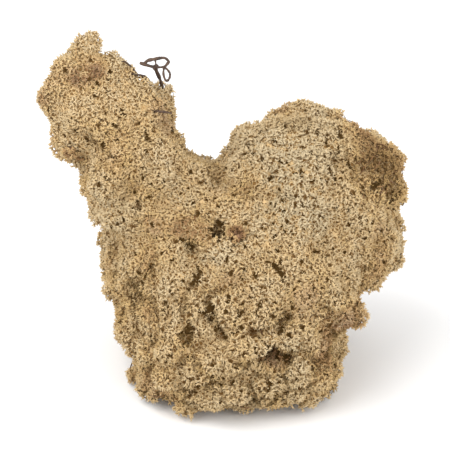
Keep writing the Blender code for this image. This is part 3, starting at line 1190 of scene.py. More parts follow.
@dataclass
class BranchWeb:
    """The branches from the inside of the cushion up to the stars at its skin.

    Attributes:
        skin: The cushion's skin.
        relief: How far the tips stay below it.
        growth: Tint and age over the clump.
        litter: The bits that the stars keep clear of.
        seed: Start of the chances.
        bough_depth, limb_depth, sprig_depth: Depth of the forks below the skin.
        bough_spacing, limb_spacing, sprig_spacing, star_spacing: Distance from fork to fork.
        limb_radii, sprig_radii, star_radii: Radius at the root and at the end of the stems to those forks.
        twig_radius: Radius of a side twig at its root.
        gather: How far the stars of one sprig keep their distance from its middle, 0 to 1.
        sprig_dome: Drop of a sprig's outermost stars below its middle one.
        stray: Most that a star may stand out of the relief.
        thin_share: Most that a star may sink, as a share of the thickness below it.
        hole_spacing, hole_radius: Distance between the pinholes and their usual radius.
        slits: Short cracks, each as its two ends in the front view and its width, in millimetres.
        slit_share: Usual radius of a slit's steps as a share of its width.
        shadow_disc_depth, shadow_disc_share: Depth of the painted shadow at a hole's end, a dark disc, and
            its radius as a
        share of the hole's.
        slit_shadow_disc_depth, slit_shadow_disc_share: How many times deeper and wider the painted shadow
        disc of a slit is.
        shadow_disc_gap: Distance that the painted shadow discs keep from the litter.
        tip_length: Length of a star's tips.
        tip_radius: Radius of a tip at its root.
        bent_tips, straight_tips, side_twigs: How many of each a star has.
        node_depth: Distance from a star's middle down to its fork, as a share of a tip's length.
        tuft_share, tuft_tint: Share of the places on a bark bit that carry a tuft, and their tint.
        old_stem_spacing, combed_spacing: Distance between the bare stems.
        old_stem, combed_stem: Sizes of the bare stems.
        litter_gap: Distance that the stars keep from the litter.
        most_faces: Most triangles in one piece.
        random: Source of chance.
        holes: The pinholes and slits.
    """

    skin: CushionSkin
    relief: Relief
    growth: Growth
    litter: Litter
    seed: int = 11
    bough_depth: float = 12.0 * MM
    limb_depth: float = 7.0 * MM
    sprig_depth: float = 3.4 * MM
    bough_spacing: float = 9.0 * MM
    limb_spacing: float = 5.4 * MM
    sprig_spacing: float = 3.0 * MM
    star_spacing: float = 0.803 * MM
    limb_radii: Pair = (0.60 * MM, 0.42 * MM)
    sprig_radii: Pair = (0.42 * MM, 0.30 * MM)
    star_radii: Pair = (0.27 * MM, 0.20 * MM)
    twig_radius: float = 0.21 * MM
    gather: float = 0.96
    sprig_dome: float = 0.22 * MM
    stray: float = 0.55 * MM
    thin_share: float = 0.05
    hole_spacing: float = 2.2 * MM
    hole_radius: float = 0.58 * MM
    slits: Rows = (
        (12.5, 28, 13.6, 26.4, 0.7), (13.7, 26.4, 15.4, 25, 0.9), (-6.8, 25.6, -7.4, 23.6, 0.6),
        (-7.4, 23.4, -9.2, 22.5, 0.75), (-1.2, 39.5, -1.7, 39.3, 0.9), (-1.8, 38, -1.6, 35.2, 0.8),
        (-4.2, 36.9, -2, 36.9, 0.75), (-9.1, 33.1, -8.5, 32.2, 1.1), (13.5, 31.9, 13.7, 31.5, 0.6),
        (12.2, 37.2, 12.5, 37.2, 0.5), (15, 36.8, 15.6, 36.6, 0.55), (17.8, 36, 17.9, 35.6, 0.5),
        (-11.6, 34.4, -11.3, 34, 0.6), (5.2, 26.3, 5.6, 26.2, 0.5), (-4.1, 16.4, -4.7, 15.2, 0.95),
        (-5.6, 14.6, -4.8, 14.2, 0.55), (-10.1, 10.6, -10.3, 8.4, 1.05),
        (-10.6, 12.1, -10.9, 11.8, 0.6), (-10.3, 7.2, -10.5, 5.8, 0.45), (-2.9, 10.6, -0.1, 7.8, 0.5),
        (0.9, 19.4, 1.4, 19.1, 0.6), (5.1, 15.6, 3.6, 13.8, 0.45), (15.2, 14.1, 17.6, 14.8, 0.45),
        (15.1, 10.1, 14.4, 8.9, 0.65), (14.9, 20.3, 15.2, 20, 0.45), (18.3, 19.9, 18.6, 19.6, 0.5),
        (-27.1, 19.1, -26.6, 18.1, 0.65), (-20.6, 27.4, -22, 24.2, 0.4), (7.6, 9.6, 10.4, 6.8, 0.4),
        (8.6, 5, 9.2, 3.6, 0.6), (10.8, 5.6, 14.2, 2.8, 0.75), (15.2, 2.8, 16.6, 1.8, 1.05),
        (12.2, -4.4, 12.4, -5, 0.55), (-33.6, 59.9, -33.2, 59.2, 0.8), (-43.6, 59.4, -43.2, 59.1, 0.7),
        (-20.9, 65.1, -20.3, 62, 0.55), (-27.5, 69.4, -26.4, 68.5, 0.6),
        (-26.6, 71.6, -26.2, 71.4, 0.5), (-42.9, 66.1, -42.5, 65.8, 0.55),
        (-40.9, 63.4, -40.5, 62.8, 0.65), (-36.9, 61.9, -36.6, 61.6, 0.5),
        (-29.5, 65.7, -29.1, 65.2, 0.6), (-31.2, 74.8, -30.7, 74.7, 0.5), (-34.3, 77, -34, 76.4, 0.5),
        (-35.7, 75.5, -35.2, 75.3, 0.5), (-24.8, 66.1, -24.5, 65.8, 0.5), (9.2, 56.9, 9.4, 56.3, 0.55),
        (14.4, 55.9, 14.7, 55.4, 0.6), (16.4, 55.6, 16.8, 55, 0.55), (20.1, 53.2, 20.5, 52.8, 0.6),
        (22.7, 59.2, 23.1, 58.6, 0.55), (25.1, 65.8, 24.9, 63.6, 0.5), (31.6, 65.8, 31.2, 62.9, 0.6),
        (27.8, 63.2, 27.4, 60.9, 0.45), (20.5, 44.2, 20.8, 43.6, 0.55), (15.5, 47.3, 15.8, 46.9, 0.6),
        (30.1, 52, 30.4, 51.2, 0.6), (28.3, 54.7, 28.6, 54, 0.55), (30.5, 57.8, 30.8, 57.2, 0.6),
        (12.8, 61.8, 13.1, 61.4, 0.5), (33.4, 55.6, 35.2, 53.6, 0.6), (40.6, 48.8, 42.4, 50.6, 0.7),
        (44.8, 43.8, 48.6, 46.8, 0.65),
    )
    slit_share: float = 0.96
    tip_length: float = 1.00 * MM
    tip_radius: float = 0.19 * MM
    bent_tips: int = 2
    straight_tips: int = 4
    side_twigs: int = 3
    node_depth: float = 0.62
    # painted shadow: a dark disc at the bottom of each hole stands for the shade down there
    shadow_disc_depth: float = 0.80 * MM
    shadow_disc_share: float = 1.22
    slit_shadow_disc_depth: float = 1.05
    slit_shadow_disc_share: float = 0.84
    shadow_disc_gap: float = 1.5 * MM
    tuft_share: float = 0.55
    tuft_tint: float = 0.12
    old_stem_spacing: float = 1.4 * MM
    combed_spacing: float = 1.0 * MM
    old_stem: StemKind = StemKind((35.0, 75.0), (45.0, 95.0), (1.5, 3.0), 0.20 * MM)
    combed_stem: StemKind = StemKind((8.0, 25.0), (5.0, 30.0), (1.2, 1.8), 0.15 * MM)
    litter_gap: float = 0.16 * MM
    most_faces: int = 190_000
    random: np.random.Generator = field(init=False)
    holes: Holes = field(init=False)

    def grow(self, finish: Material) -> list[Object]:
        """Grow all the branches.

        Args:
            finish: The lichen's material.

        Returns:
            The pieces; the tips are split so that no tip piece has more than most_faces triangles.
        """
        self.random = np.random.default_rng(self.seed)
        boughs = self._forks(self.bough_spacing, self.bough_depth)
        limbs = self._forks(self.limb_spacing, self.limb_depth, boughs)
        sprigs = self._forks(self.sprig_spacing, self.sprig_depth, limbs)
        LOG.info("forks: %d boughs, %d limbs, %d sprigs", *map(len, (boughs.skin, limbs.skin, sprigs.skin)))
        stems = Web()
        self._join(stems, limbs, boughs, self.limb_radii, (0.02, 0.14))
        self._join(stems, sprigs, limbs, self.sprig_radii, (0.12, 0.34))
        stars = self._stars(sprigs)
        self._star_stems(stems, stars)
        # painted shadows: dark discs in the pinholes and slits
        self._shadow_discs(stems)
        self._old_stems(stems)
        twigs = Web()
        self._side_twigs(twigs, stars)
        pieces = [stems.piece("lichen_stems", finish), twigs.piece("lichen_side_twigs", finish)]
        LOG.info("stars: %d", len(stars))
        pieces += self._tips(stars, finish)
        pieces.append(self._tufts(finish))
        return pieces

    def _turns(self, amount: int) -> Array:
        """Draw how far each of many branches is turned about its own line."""
        return self.random.uniform(0, ABOUT_A_TURN, amount)

    def _forks(self, spacing: float, depth: float, deeper: Forks | None = None) -> Forks:
        """Place the forks of one depth, each tied to the nearest deeper one."""
        skin = self.skin.scatter(spacing, self.random)
        skin = skin.only(skin.places[:, 2] > 1.0 * MM)
        wanted = depth * self.random.uniform(0.85, 1.15, len(skin)) + 0.6 * self.relief.drop(skin.places)
        sunk = np.minimum(wanted, 0.42 * self.skin.room_below(skin))
        places = skin.places - skin.outward * sunk[:, None]
        places += self.random.normal(0.0, 0.12 * spacing, places.shape)
        if deeper is None:
            return Forks(skin, places, np.zeros(len(skin), int))
        return Forks(skin, places, nearest(deeper.places, places))

    def _join(self, web: Web, upper: Forks, lower: Forks, radii: Pair, shades: Pair) -> None:
        """Join each fork to the deeper one that it grows from.

        Args:
            web: Where the stems go.
            upper: The forks.
            lower: The deeper ones.
            radii: Radius of a stem at its root and at its end.
            shades: Its shade at both.
        """
        root, end = radii
        amount = len(upper.places)
        start = lower.places[upper.below]
        middle = (start + upper.places) / 2.0 + self.random.normal(0.0, 0.10 * root, (amount, 3)) * 4.0
        points = np.stack((start, middle, upper.places), axis=1)
        thick = np.tile((root, (root + end) / 2.0, end), (amount, 1))
        shade = np.tile((shades[0], sum(shades) / 2.0, shades[1]), (amount, 1))
        tints = np.clip(self.random.normal(0.25, 0.08, amount), 0.05, 0.5)
        web.strands(points, thick, tints, shade, self._turns(amount), End.OPEN)

    def _stars(self, sprigs: Forks) -> Stars:
        """Place the stars, drawn together round their sprigs and pushed aside at the holes."""
        random = self.random
        skin = self.skin.scatter(self.star_spacing, random)
        skin = skin.only(skin.places[:, 2] > 0.6 * MM)
        skin = skin.only(self.litter.clear(skin.places, self.litter_gap))
        skin = skin.only(random.random(len(skin)) > 0.75 * self.growth.age(skin.places))
        # painted light and shade of each star's place
        sky = self.relief.light(skin)
        sprig = nearest(sprigs.skin.places, skin.places)
        axis = sprigs.skin.outward[sprig]
        away = skin.places - sprigs.skin.places[sprig]
        flat = away - (away * axis).sum(1, keepdims=True) * axis
        edge = 0.6 * self.sprig_spacing
        reach = np.linalg.norm(flat, axis=1) / edge
        drop = self.sprig_dome * np.minimum(reach, 1.4) ** 2
        drop += np.abs(random.normal(0.0, 0.12 * MM, len(skin)))
        drop -= self.stray * random.random(len(skin)) ** 5
        drop += self.relief.drop(skin.places)
        drop = np.minimum(drop, self.thin_share * self.skin.room_below(skin))
        moved = skin.places - flat * (1.0 - self.gather) - skin.outward * drop[:, None]
        self.holes = self._lay_holes()
        moved = self.holes.part(moved, skin.places)
        out = unit(skin.outward + axis + flat / edge * 0.5)
        out = unit(out + random.normal(0.0, 0.24, out.shape))
        tint = self.growth.tint(moved) + 0.025 * random.standard_normal(len(moved))
        # painted shade: stars towards the edge of their sprig are darker
        light = np.clip(sky - 0.06 * reach**2, 0.26, 1.0)
        nodes = moved - out * self.node_depth * self.tip_length
        return Stars(nodes, out, sprigs.places[sprig], tint, light)

    def _lay_holes(self) -> Holes:
        """Scatter the pinholes, fewer of them high up, and follow the slits in short steps."""
        random, seen = self.random, self.skin.seen
        pinholes = self.skin.scatter(self.hole_spacing, random)
        few = soft_step((pinholes.places[:, 2] - 70.0 * MM) / (14.0 * MM))
        pinholes = pinholes.only(random.random(len(pinholes)) > 0.6 * few)
        radii = [self.hole_radius * (0.50 + 0.75 * random.random(len(pinholes)) ** 1.7)]
        slits = []
        for across, up, last_across, last_up, width in self.slits:
            first = np.array(seen(across, up))
            last = np.array(seen(last_across, last_up))
            steps = np.linspace(0.0, 1.0, 2 + int(np.linalg.norm(last - first) / (0.7 * MM)))
            slits.append(first + (last - first) * steps[:, None])
            radii.append(self.slit_share * width * MM * random.uniform(0.75, 1.25, len(steps)))
        row = self.skin.at(np.concatenate(slits))
        skin = SkinPoints(
            np.concatenate((pinholes.places, row.places)), np.concatenate((pinholes.outward, row.outward))
        )
        scattered = np.arange(len(skin)) < len(pinholes)
        stretch = np.where(scattered, random.uniform(1.0, 1.65, len(skin)), 1.0)
        side, other = square_to(skin.outward)
        turn = random.uniform(0.0, math.pi, len(skin))[:, None]
        long_way = side * np.cos(turn) + other * np.sin(turn)
        return Holes(skin, np.concatenate(radii), stretch, long_way, scattered)

    def _shadow_discs(self, web: Web) -> None:
        """Add a painted shadow at the bottom of each hole: a small dark disc of uneven outline."""
        random, sides = self.random, 5
        holes = self.holes.only(self.litter.clear(self.holes.skin.places, self.shadow_disc_gap))
        skin, amount = holes.skin, len(holes.skin)
        radii = self.shadow_disc_share * holes.radii * np.where(holes.scattered, 1.0, self.slit_shadow_disc_share)
        deeper = np.where(holes.scattered, 1.0, self.slit_shadow_disc_depth)
        dip = self.relief.drop(skin.places) - self.relief.fold_depth * self.relief.fold(skin.places)
        sunk = np.minimum(deeper * self.shadow_disc_depth + dip, 0.25 * self.skin.room_below(skin))
        middle = skin.places - skin.outward * sunk[:, None]
        stretch = holes.stretch[:, None, None]
        side = holes.long_way
        other = np.cross(skin.outward, side)
        angles = np.arange(sides) * 2.0 * math.pi / sides
        spokes = side[:, None, :] * stretch * np.cos(angles)[:, None]
        spokes = spokes + other[:, None, :] / stretch * np.sin(angles)[:, None]
        spokes *= random.uniform(0.65, 1.30, (amount, sides, 1))
        spokes = np.concatenate((np.zeros((amount, 1, 3)), spokes), axis=1)
        corners = (middle[:, None, :] + spokes * radii[:, None, None]).reshape(-1, 3)
        fan = np.array([(0, corner, corner % sides + 1) for corner in range(1, sides + 1)])
        faces = fan[None] + (np.arange(amount) * (sides + 1))[:, None, None]
        # painted shadow: darkest in a disc's middle, with paler discs in some pinholes
        gloom = random.random(amount) ** 1.8 * holes.scattered
        shade = np.empty((amount, sides + 1))
        shade[:, 0] = 0.01 + 0.12 * gloom**2
        shade[:, 1:] = 0.13 + 0.20 * gloom[:, None] + random.uniform(-0.03, 0.03, (amount, sides))
        chart = np.stack((np.full(shade.shape, 0.25), shade), axis=2).reshape(-1, 2)
        web.add(corners, chart, faces.reshape(-1, 3))

    def _old_stems(self, web: Web) -> None:
        """Add bare wiry stems where the growth is old, and upright pale ones where it is combed."""
        random = self.random
        skin = self.skin.scatter(self.old_stem_spacing, random)
        age = self.growth.age(skin.places)
        old = skin.only((random.random(len(skin)) < 1.7 * age) & (skin.places[:, 2] > 3.0 * MM))
        tints = np.clip(random.normal(0.10, 0.08, len(old)), 0.01, 0.4)
        self._loose_stems(web, old, self.old_stem, tints)
        skin = self.skin.scatter(self.combed_spacing, random)
        combed = skin.only(random.random(len(skin)) < 0.85 * self.growth.combed(skin.places))
        tints = random.normal(0.72, 0.10, len(combed))
        self._loose_stems(web, combed, self.combed_stem, tints)

    def _loose_stems(self, web: Web, skin: SkinPoints, kind: StemKind, tints: Array) -> None:
        """Add bent stems that come from inside the cushion and end at its skin.

        Args:
            web: Where they go.
            skin: Where they end.
            kind: Their sizes.
            tints: Tint of each.
        """
        random, amount = self.random, len(skin)
        side, other = square_to(skin.outward)
        turn = random.uniform(0.0, 2.0 * math.pi, amount)
        later = turn + random.normal(0.0, 0.6, amount)
        low = slanted(skin.outward, side, other, turn, np.radians(random.uniform(*kind.low_lean, amount)))
        high = slanted(skin.outward, side, other, later, np.radians(random.uniform(*kind.high_lean, amount)))
        half = random.uniform(*kind.length, amount)[:, None] * MM
        under = np.maximum(self.relief.drop(skin.places), 0.0) + random.uniform(-0.1, 0.6, amount) * MM
        top = skin.places - skin.outward * under[:, None]
        knee = top - high * half
        root = knee - low * half
        sound = self.skin.inside(root, 0.8 * MM) & self.skin.inside(knee, 0.1 * MM)
        sound &= self.litter.clear(skin.places, 0.8 * MM)
        thick = random.uniform(0.75, 1.3, amount) * kind.radius
        points = np.stack((root, knee, top), axis=1)[sound]
        radii = np.stack((1.1 * thick, thick, 0.0 * thick), axis=1)[sound]
        ends = random.uniform(0.55, 0.85, amount)
        shade = np.stack((0.4 * ends, 0.7 * ends, ends), axis=1)[sound]
        web.strands(points, radii, tints[sound], shade, self._turns(int(sound.sum())))

    def _star_stems(self, web: Web, stars: Stars) -> None:
        """Add the stem from each sprig to each of its stars."""
        points = np.stack((stars.roots, stars.nodes), axis=1)
        radii = np.tile(self.star_radii, (len(stars), 1))
        shade = np.stack((0.50 * stars.light, 0.78 * stars.light), axis=1)
        web.strands(points, radii, stars.tint * 0.8, shade, self._turns(len(stars)), End.OPEN)

    def _side_twigs(self, web: Web, stars: Stars) -> None:
        """Add short twigs that leave the star stems half way up and fill the web below the stars."""
        random = self.random
        owner = np.repeat(np.arange(len(stars)), self.side_twigs)
        amount = len(owner)
        start = stars.roots[owner]
        along = stars.nodes[owner] - start
        place = start + along * random.uniform(0.40, 0.80, amount)[:, None]
        side, other = square_to(unit(along))
        turn = random.uniform(0, 2.0 * math.pi, amount)
        aim = slanted(unit(along), side, other, turn, np.radians(random.uniform(50.0, 95.0, amount)))
        length = random.uniform(0.8, 1.5, amount)[:, None] * self.tip_length
        points = np.stack((place, place + aim * length), axis=1)
        radii = np.tile((self.twig_radius, 0.0), (amount, 1))
        light = stars.light[owner]
        shade = np.stack((0.64 * light, 0.80 * light), axis=1)
        web.strands(points, radii, stars.tint[owner], shade, self._turns(amount))

    def _whorls(self, web: Web, nodes: Array, out: Array, tint: Array, light: Array) -> None:
        """Add a whorl of tips at each of many forks."""
        whorl = Whorl(nodes, out, tint, light, self.random)
        whorl.grow(web, self.bent_tips, self.straight_tips, self.tip_length, self.tip_radius)

    def _tips(self, stars: Stars, finish: Material) -> list[Object]:
        """Add the whorl of tips to each star, in as many pieces as the face limit asks for."""
        faces_each = 9 * self.bent_tips + 3 * self.straight_tips
        order = np.argsort(np.arctan2(stars.nodes[:, 1], stars.nodes[:, 0]), kind="stable")
        parts = math.ceil(len(order) * faces_each / self.most_faces)
        pieces = []
        for number, chosen in enumerate(np.array_split(order, parts), start=1):
            web = Web()
            self._whorls(web, stars.nodes[chosen], stars.out[chosen], stars.tint[chosen], stars.light[chosen])
            pieces.append(web.piece(f"lichen_tips_{number}", finish))
        return pieces

    def _tufts(self, finish: Material) -> Object:
        """Add tufts, brown in the middle and pale at the rim, that hide most of the bark bits."""
        random, web = self.random, Web()
        for node in ("bark_flake", "bark_crumb"):
            mesh = bpy.data.objects[node].data
            low, high = box_of(bpy.data.objects[node])
            half = max(high - low) / 2.0
            places = np.array([face.center for face in mesh.polygons])
            out = np.array([face.normal for face in mesh.polygons])
            places = np.concatenate((places, [corner.co for corner in mesh.vertices]))
            out = np.concatenate((out, [corner.normal for corner in mesh.vertices]))
            open_air = self.skin.openness(SkinPoints(places, out), 5.0 * MM) > 0.6
            chosen = open_air & (random.random(len(places)) < self.tuft_share)
            places = places[chosen] + random.normal(0.0, 0.45 * MM, (int(chosen.sum()), 3))
            out = unit(out[chosen] + random.normal(0.0, 0.3, places.shape))
            rim = soft_step(np.linalg.norm(places - np.array(low + high) / 2.0, axis=1) / half * 1.5 - 0.85)
            tint = self.tuft_tint + 0.32 * rim + 0.05 * random.standard_normal(len(places))
            light = random.uniform(0.50, 0.75, len(places)) + 0.20 * rim
            LOG.info("tufts on %s: %d", node, len(places))
            self._whorls(web, places - out * 0.25 * MM, out, tint, light)
        return web.piece("brown_tufts", finish)


@dataclass
class Whorl:
    """The tips round many stars.

    Attributes:
        nodes: Where the stars fork.
        out: Direction in which each star faces.
        tint: Tint of each star.
        light: How much painted light each star gets.
        random: Source of chance.
        side, other: Two directions square to each star's own and to each other.
    """

    nodes: Array
    out: Array
    tint: Array
    light: Array
    random: np.random.Generator
    side: Array = field(init=False)
    other: Array = field(init=False)

    def __post_init__(self) -> None:
        """Find the directions square to the stars' own."""
        self.side, self.other = square_to(self.out)

    def grow(self, web: Web, bent: int, straight: int, length: float, radius: float) -> None:
        """Add the tips.

        Args:
            web: Where they go.
            bent: Number of tips with a knee on each star.
            straight: Number of straight tips on each star.
            length: Usual length of a tip.
            radius: Usual radius of a tip at its root.
        """
        phase = self.random.uniform(0.0, 2.0 * math.pi, len(self.nodes))
        for number in range(bent):
            self._bent(web, phase + number * 2.0 * math.pi / bent, length, radius)
        for number in range(straight):
            self._straight(web, phase + (number + 0.5) * 2.0 * math.pi / straight, length, radius)

    def _aim(self, turn: Array, slant: Array) -> Array:
        """Find directions that lean from the stars' own."""
        return slanted(self.out, self.side, self.other, turn, slant)

    def _bent(self, web: Web, turn: Array, length: float, radius: float) -> None:
        """Add one tip with a knee to each star."""
        random, amount = self.random, len(self.nodes)
        turn = turn + random.normal(0.0, 0.35, amount)
        later = turn + random.normal(0.0, 0.7, amount)
        reach = length * random.uniform(0.75, 1.30, amount)
        splay = np.radians(random.normal(60.0, 14.0, amount))
        rise = np.radians(random.normal(25.0, 20.0, amount))
        knee = self.nodes + self._aim(turn, splay) * (0.55 * reach)[:, None]
        tip = knee + self._aim(later, rise) * (0.45 * reach)[:, None]
        thick = random.uniform(0.85, 1.2, amount) * radius
        radii = np.stack((thick, 0.92 * thick, 0.0 * thick), axis=1)
        shade = self._shade((0.76, 0.88, 1.0))
        turns = random.uniform(0, ABOUT_A_TURN, amount)
        web.strands(np.stack((self.nodes, knee, tip), axis=1), radii, self.tint, shade, turns)

    def _straight(self, web: Web, turn: Array, length: float, radius: float) -> None:
        """Add one straight tip to each star."""
        random, amount = self.random, len(self.nodes)
        turn = turn + random.normal(0.0, 0.35, amount)
        reach = length * random.uniform(0.60, 1.10, amount)
        splay = np.radians(random.normal(62.0, 18.0, amount))
        tip = self.nodes + self._aim(turn, splay) * reach[:, None]
        thick = random.uniform(0.95, 1.25, amount) * radius
        radii = np.stack((thick, 0.0 * thick), axis=1)
        turns = random.uniform(0, ABOUT_A_TURN, amount)
        web.strands(np.stack((self.nodes, tip), axis=1), radii, self.tint, self._shade((0.78, 0.96)), turns)

    def _shade(self, levels: tuple[float, ...]) -> Array:
        """Spread the stars' light over the rings of one tip, each tip a little off the next."""
        own = self.light + 0.04 * self.random.standard_normal(len(self.light))
        return own[:, None] * np.array(levels)


def slanted(out: Array, side: Array, other: Array, turn: Array, slant: Array) -> Array:
    """Lean directions away from an axis.

    Args:
        out: The axis of each.
        side: A direction square to it.
        other: The direction square to both.
        turn: To which side each leans, as an angle from side to other.
        slant: How far it leans.

    Returns:
        One unit vector for each.
    """
    aside = side * np.cos(turn)[:, None] + other * np.sin(turn)[:, None]
    return out * np.cos(slant)[:, None] + aside * np.sin(slant)[:, None]


@dataclass
class OldGrowth:
    """The dense tangle inside the cushion, seen through the gaps between the branches.

    Attributes:
        skin: The cushion's skin.
        relief: How far the tips stay below it.
        depth: Its depth below the tips.
        cleft_spread: How many times wider its clefts are than those between the tips.
        share: Most of the local thickness that the depth may take.
        lump_size: Distance from one lump of its surface to the next.
        lump_height: Height of the lumps.
        lift: Height of its underside above the clump's cut.
    """

    skin: CushionSkin
    relief: Relief
    depth: float = 1.05 * MM
    cleft_spread: float = 2.4
    share: float = 0.24
    lump_size: float = 1.5 * MM
    lump_height: float = 0.45 * MM
    lift: float = 0.3 * MM

    def build(self, finish: Material) -> Object:
        """Build the inside as one closed form.

        Args:
            finish: Its material.

        Returns:
            The piece.
        """
        shape = merged_copy(self.skin.source())
        shape.verts.ensure_lookup_table()
        points = SkinPoints(self.skin.corners, self.skin.outward)
        wanted = self.depth + self.relief.drop(self.skin.corners, self.cleft_spread)
        sunk = np.minimum(wanted, self.share * self.skin.room_below(points))
        # painted light and shade of the skin above, stored in the light map for the tangle's colour
        light = np.clip(self.relief.light(points), 0.02, 0.98)
        chart = shape.loops.layers.uv.new(LIGHT_MAP)
        for face in shape.faces:
            for loop in face.loops:
                loop[chart].uv = (light[loop.vert.index], 0.5)
        for corner, out, depth in zip(shape.verts, self.skin.outward, sunk):
            corner.co -= Vector(out) * depth
        bmesh.ops.smooth_vert(
            shape, verts=shape.verts, factor=0.5, use_axis_x=True, use_axis_y=True, use_axis_z=True
        )
        bmesh.ops.subdivide_edges(shape, edges=shape.edges, cuts=1, use_grid_fill=True)
        shape.normal_update()
        for corner in shape.verts:
            lump = noise.noise(corner.co / self.lump_size)
            corner.co += corner.normal * lump * self.lump_height
            corner.co.z = max(corner.co.z, self.lift)
        made = cast("old_growth", shape, finish)
        made.data.shade_smooth()
        return made


@dataclass
class Studio:
    """Floor, light and camera.

    Attributes:
        lens, film: Focal length and width of the film, in millimetres.
        fill: Share of the picture's width that the clump takes.
        aim_drop: How far below the clump's middle the camera aims.
        floor_size, floor_colour: Side and colour of the floor.
        room_light: Strength of the even light of the room.
        lamps: Name, place, size and power of each square light: a broad key at the upper left and a
            weaker one at the right.
        lamp_aim: Where the lights face.
    """

    lens: float = 160.0
    film: float = 36.0
    fill: float = 0.84
    aim_drop: float = 4.0 * MM
    floor_size: float = 6.0
    floor_colour: Colour = paint(243, 243, 243)
    room_light: float = 0.95
    lamps: tuple[tuple[str, tuple[float, float, float], float, float], ...] = (
        ("key_light", (-0.50, -0.40, 0.75), 0.90, 8.5),
        ("fill_light", (0.6, -0.6, 0.35), 0.8, 4.9),
    )
    lamp_aim: tuple[float, float, float] = (0.0, 0.0, 0.04)

    def build(self, low: Vector, high: Vector) -> None:
        """Set up the studio round the object.

        Args:
            low: Lowest corner of the object's box.
            high: Highest corner of the object's box.
        """
        self._floor()
        self._world()
        for name, place, size, power in self.lamps:
            self._lamp(name, Vector(place), size, power)
        self._camera(low, high)

    def _floor(self) -> None:
        """Lay a plain pale floor."""
        shape = bmesh.new()
        bmesh.ops.create_grid(shape, x_segments=1, y_segments=1, size=self.floor_size / 2.0)
        floor = cast("floor", shape, Board("pale_floor", self.floor_colour).surface(self.floor_colour, 0.9))
        floor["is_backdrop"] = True

    def _world(self) -> None:
        """Fill the room with even white light."""
        world = bpy.data.worlds.new("white_room")
        world.use_nodes = True
        background = world.node_tree.nodes["Background"]
        background.inputs["Color"].default_value = (1.0, 1.0, 1.0, 1.0)
        background.inputs["Strength"].default_value = self.room_light
        bpy.context.scene.world = world

    def _lamp(self, name: str, place: Vector, size: float, power: float) -> None:
        """Hang one square light that faces the middle of the clump."""
        data = bpy.data.lights.new(name, "AREA")
        data.size = size
        data.energy = power
        lamp = bpy.data.objects.new(name, data)
        lamp.location = place
        lamp.rotation_euler = (Vector(self.lamp_aim) - place).to_track_quat("-Z", "Y").to_euler()
        bpy.context.scene.collection.objects.link(lamp)

    def _camera(self, low: Vector, high: Vector) -> None:
        """Aim the camera down on the clump from the front."""
        data = bpy.data.cameras.new("camera")
        data.lens = self.lens
        data.sensor_width = self.film
        camera = bpy.data.objects.new("camera", data)
        middle = (low + high) / 2.0
        width = high.x - low.x
        distance = width / self.fill * self.lens / self.film
        away, above = sight()
        camera.location = middle - above * self.aim_drop - away * distance
        camera.rotation_euler = away.to_track_quat("-Z", "Y").to_euler()
        data.clip_start = 0.01
        data.clip_end = 20.0
        bpy.context.scene.collection.objects.link(camera)
        bpy.context.scene.camera = camera
        bpy.context.scene.view_settings.view_transform = "Standard"


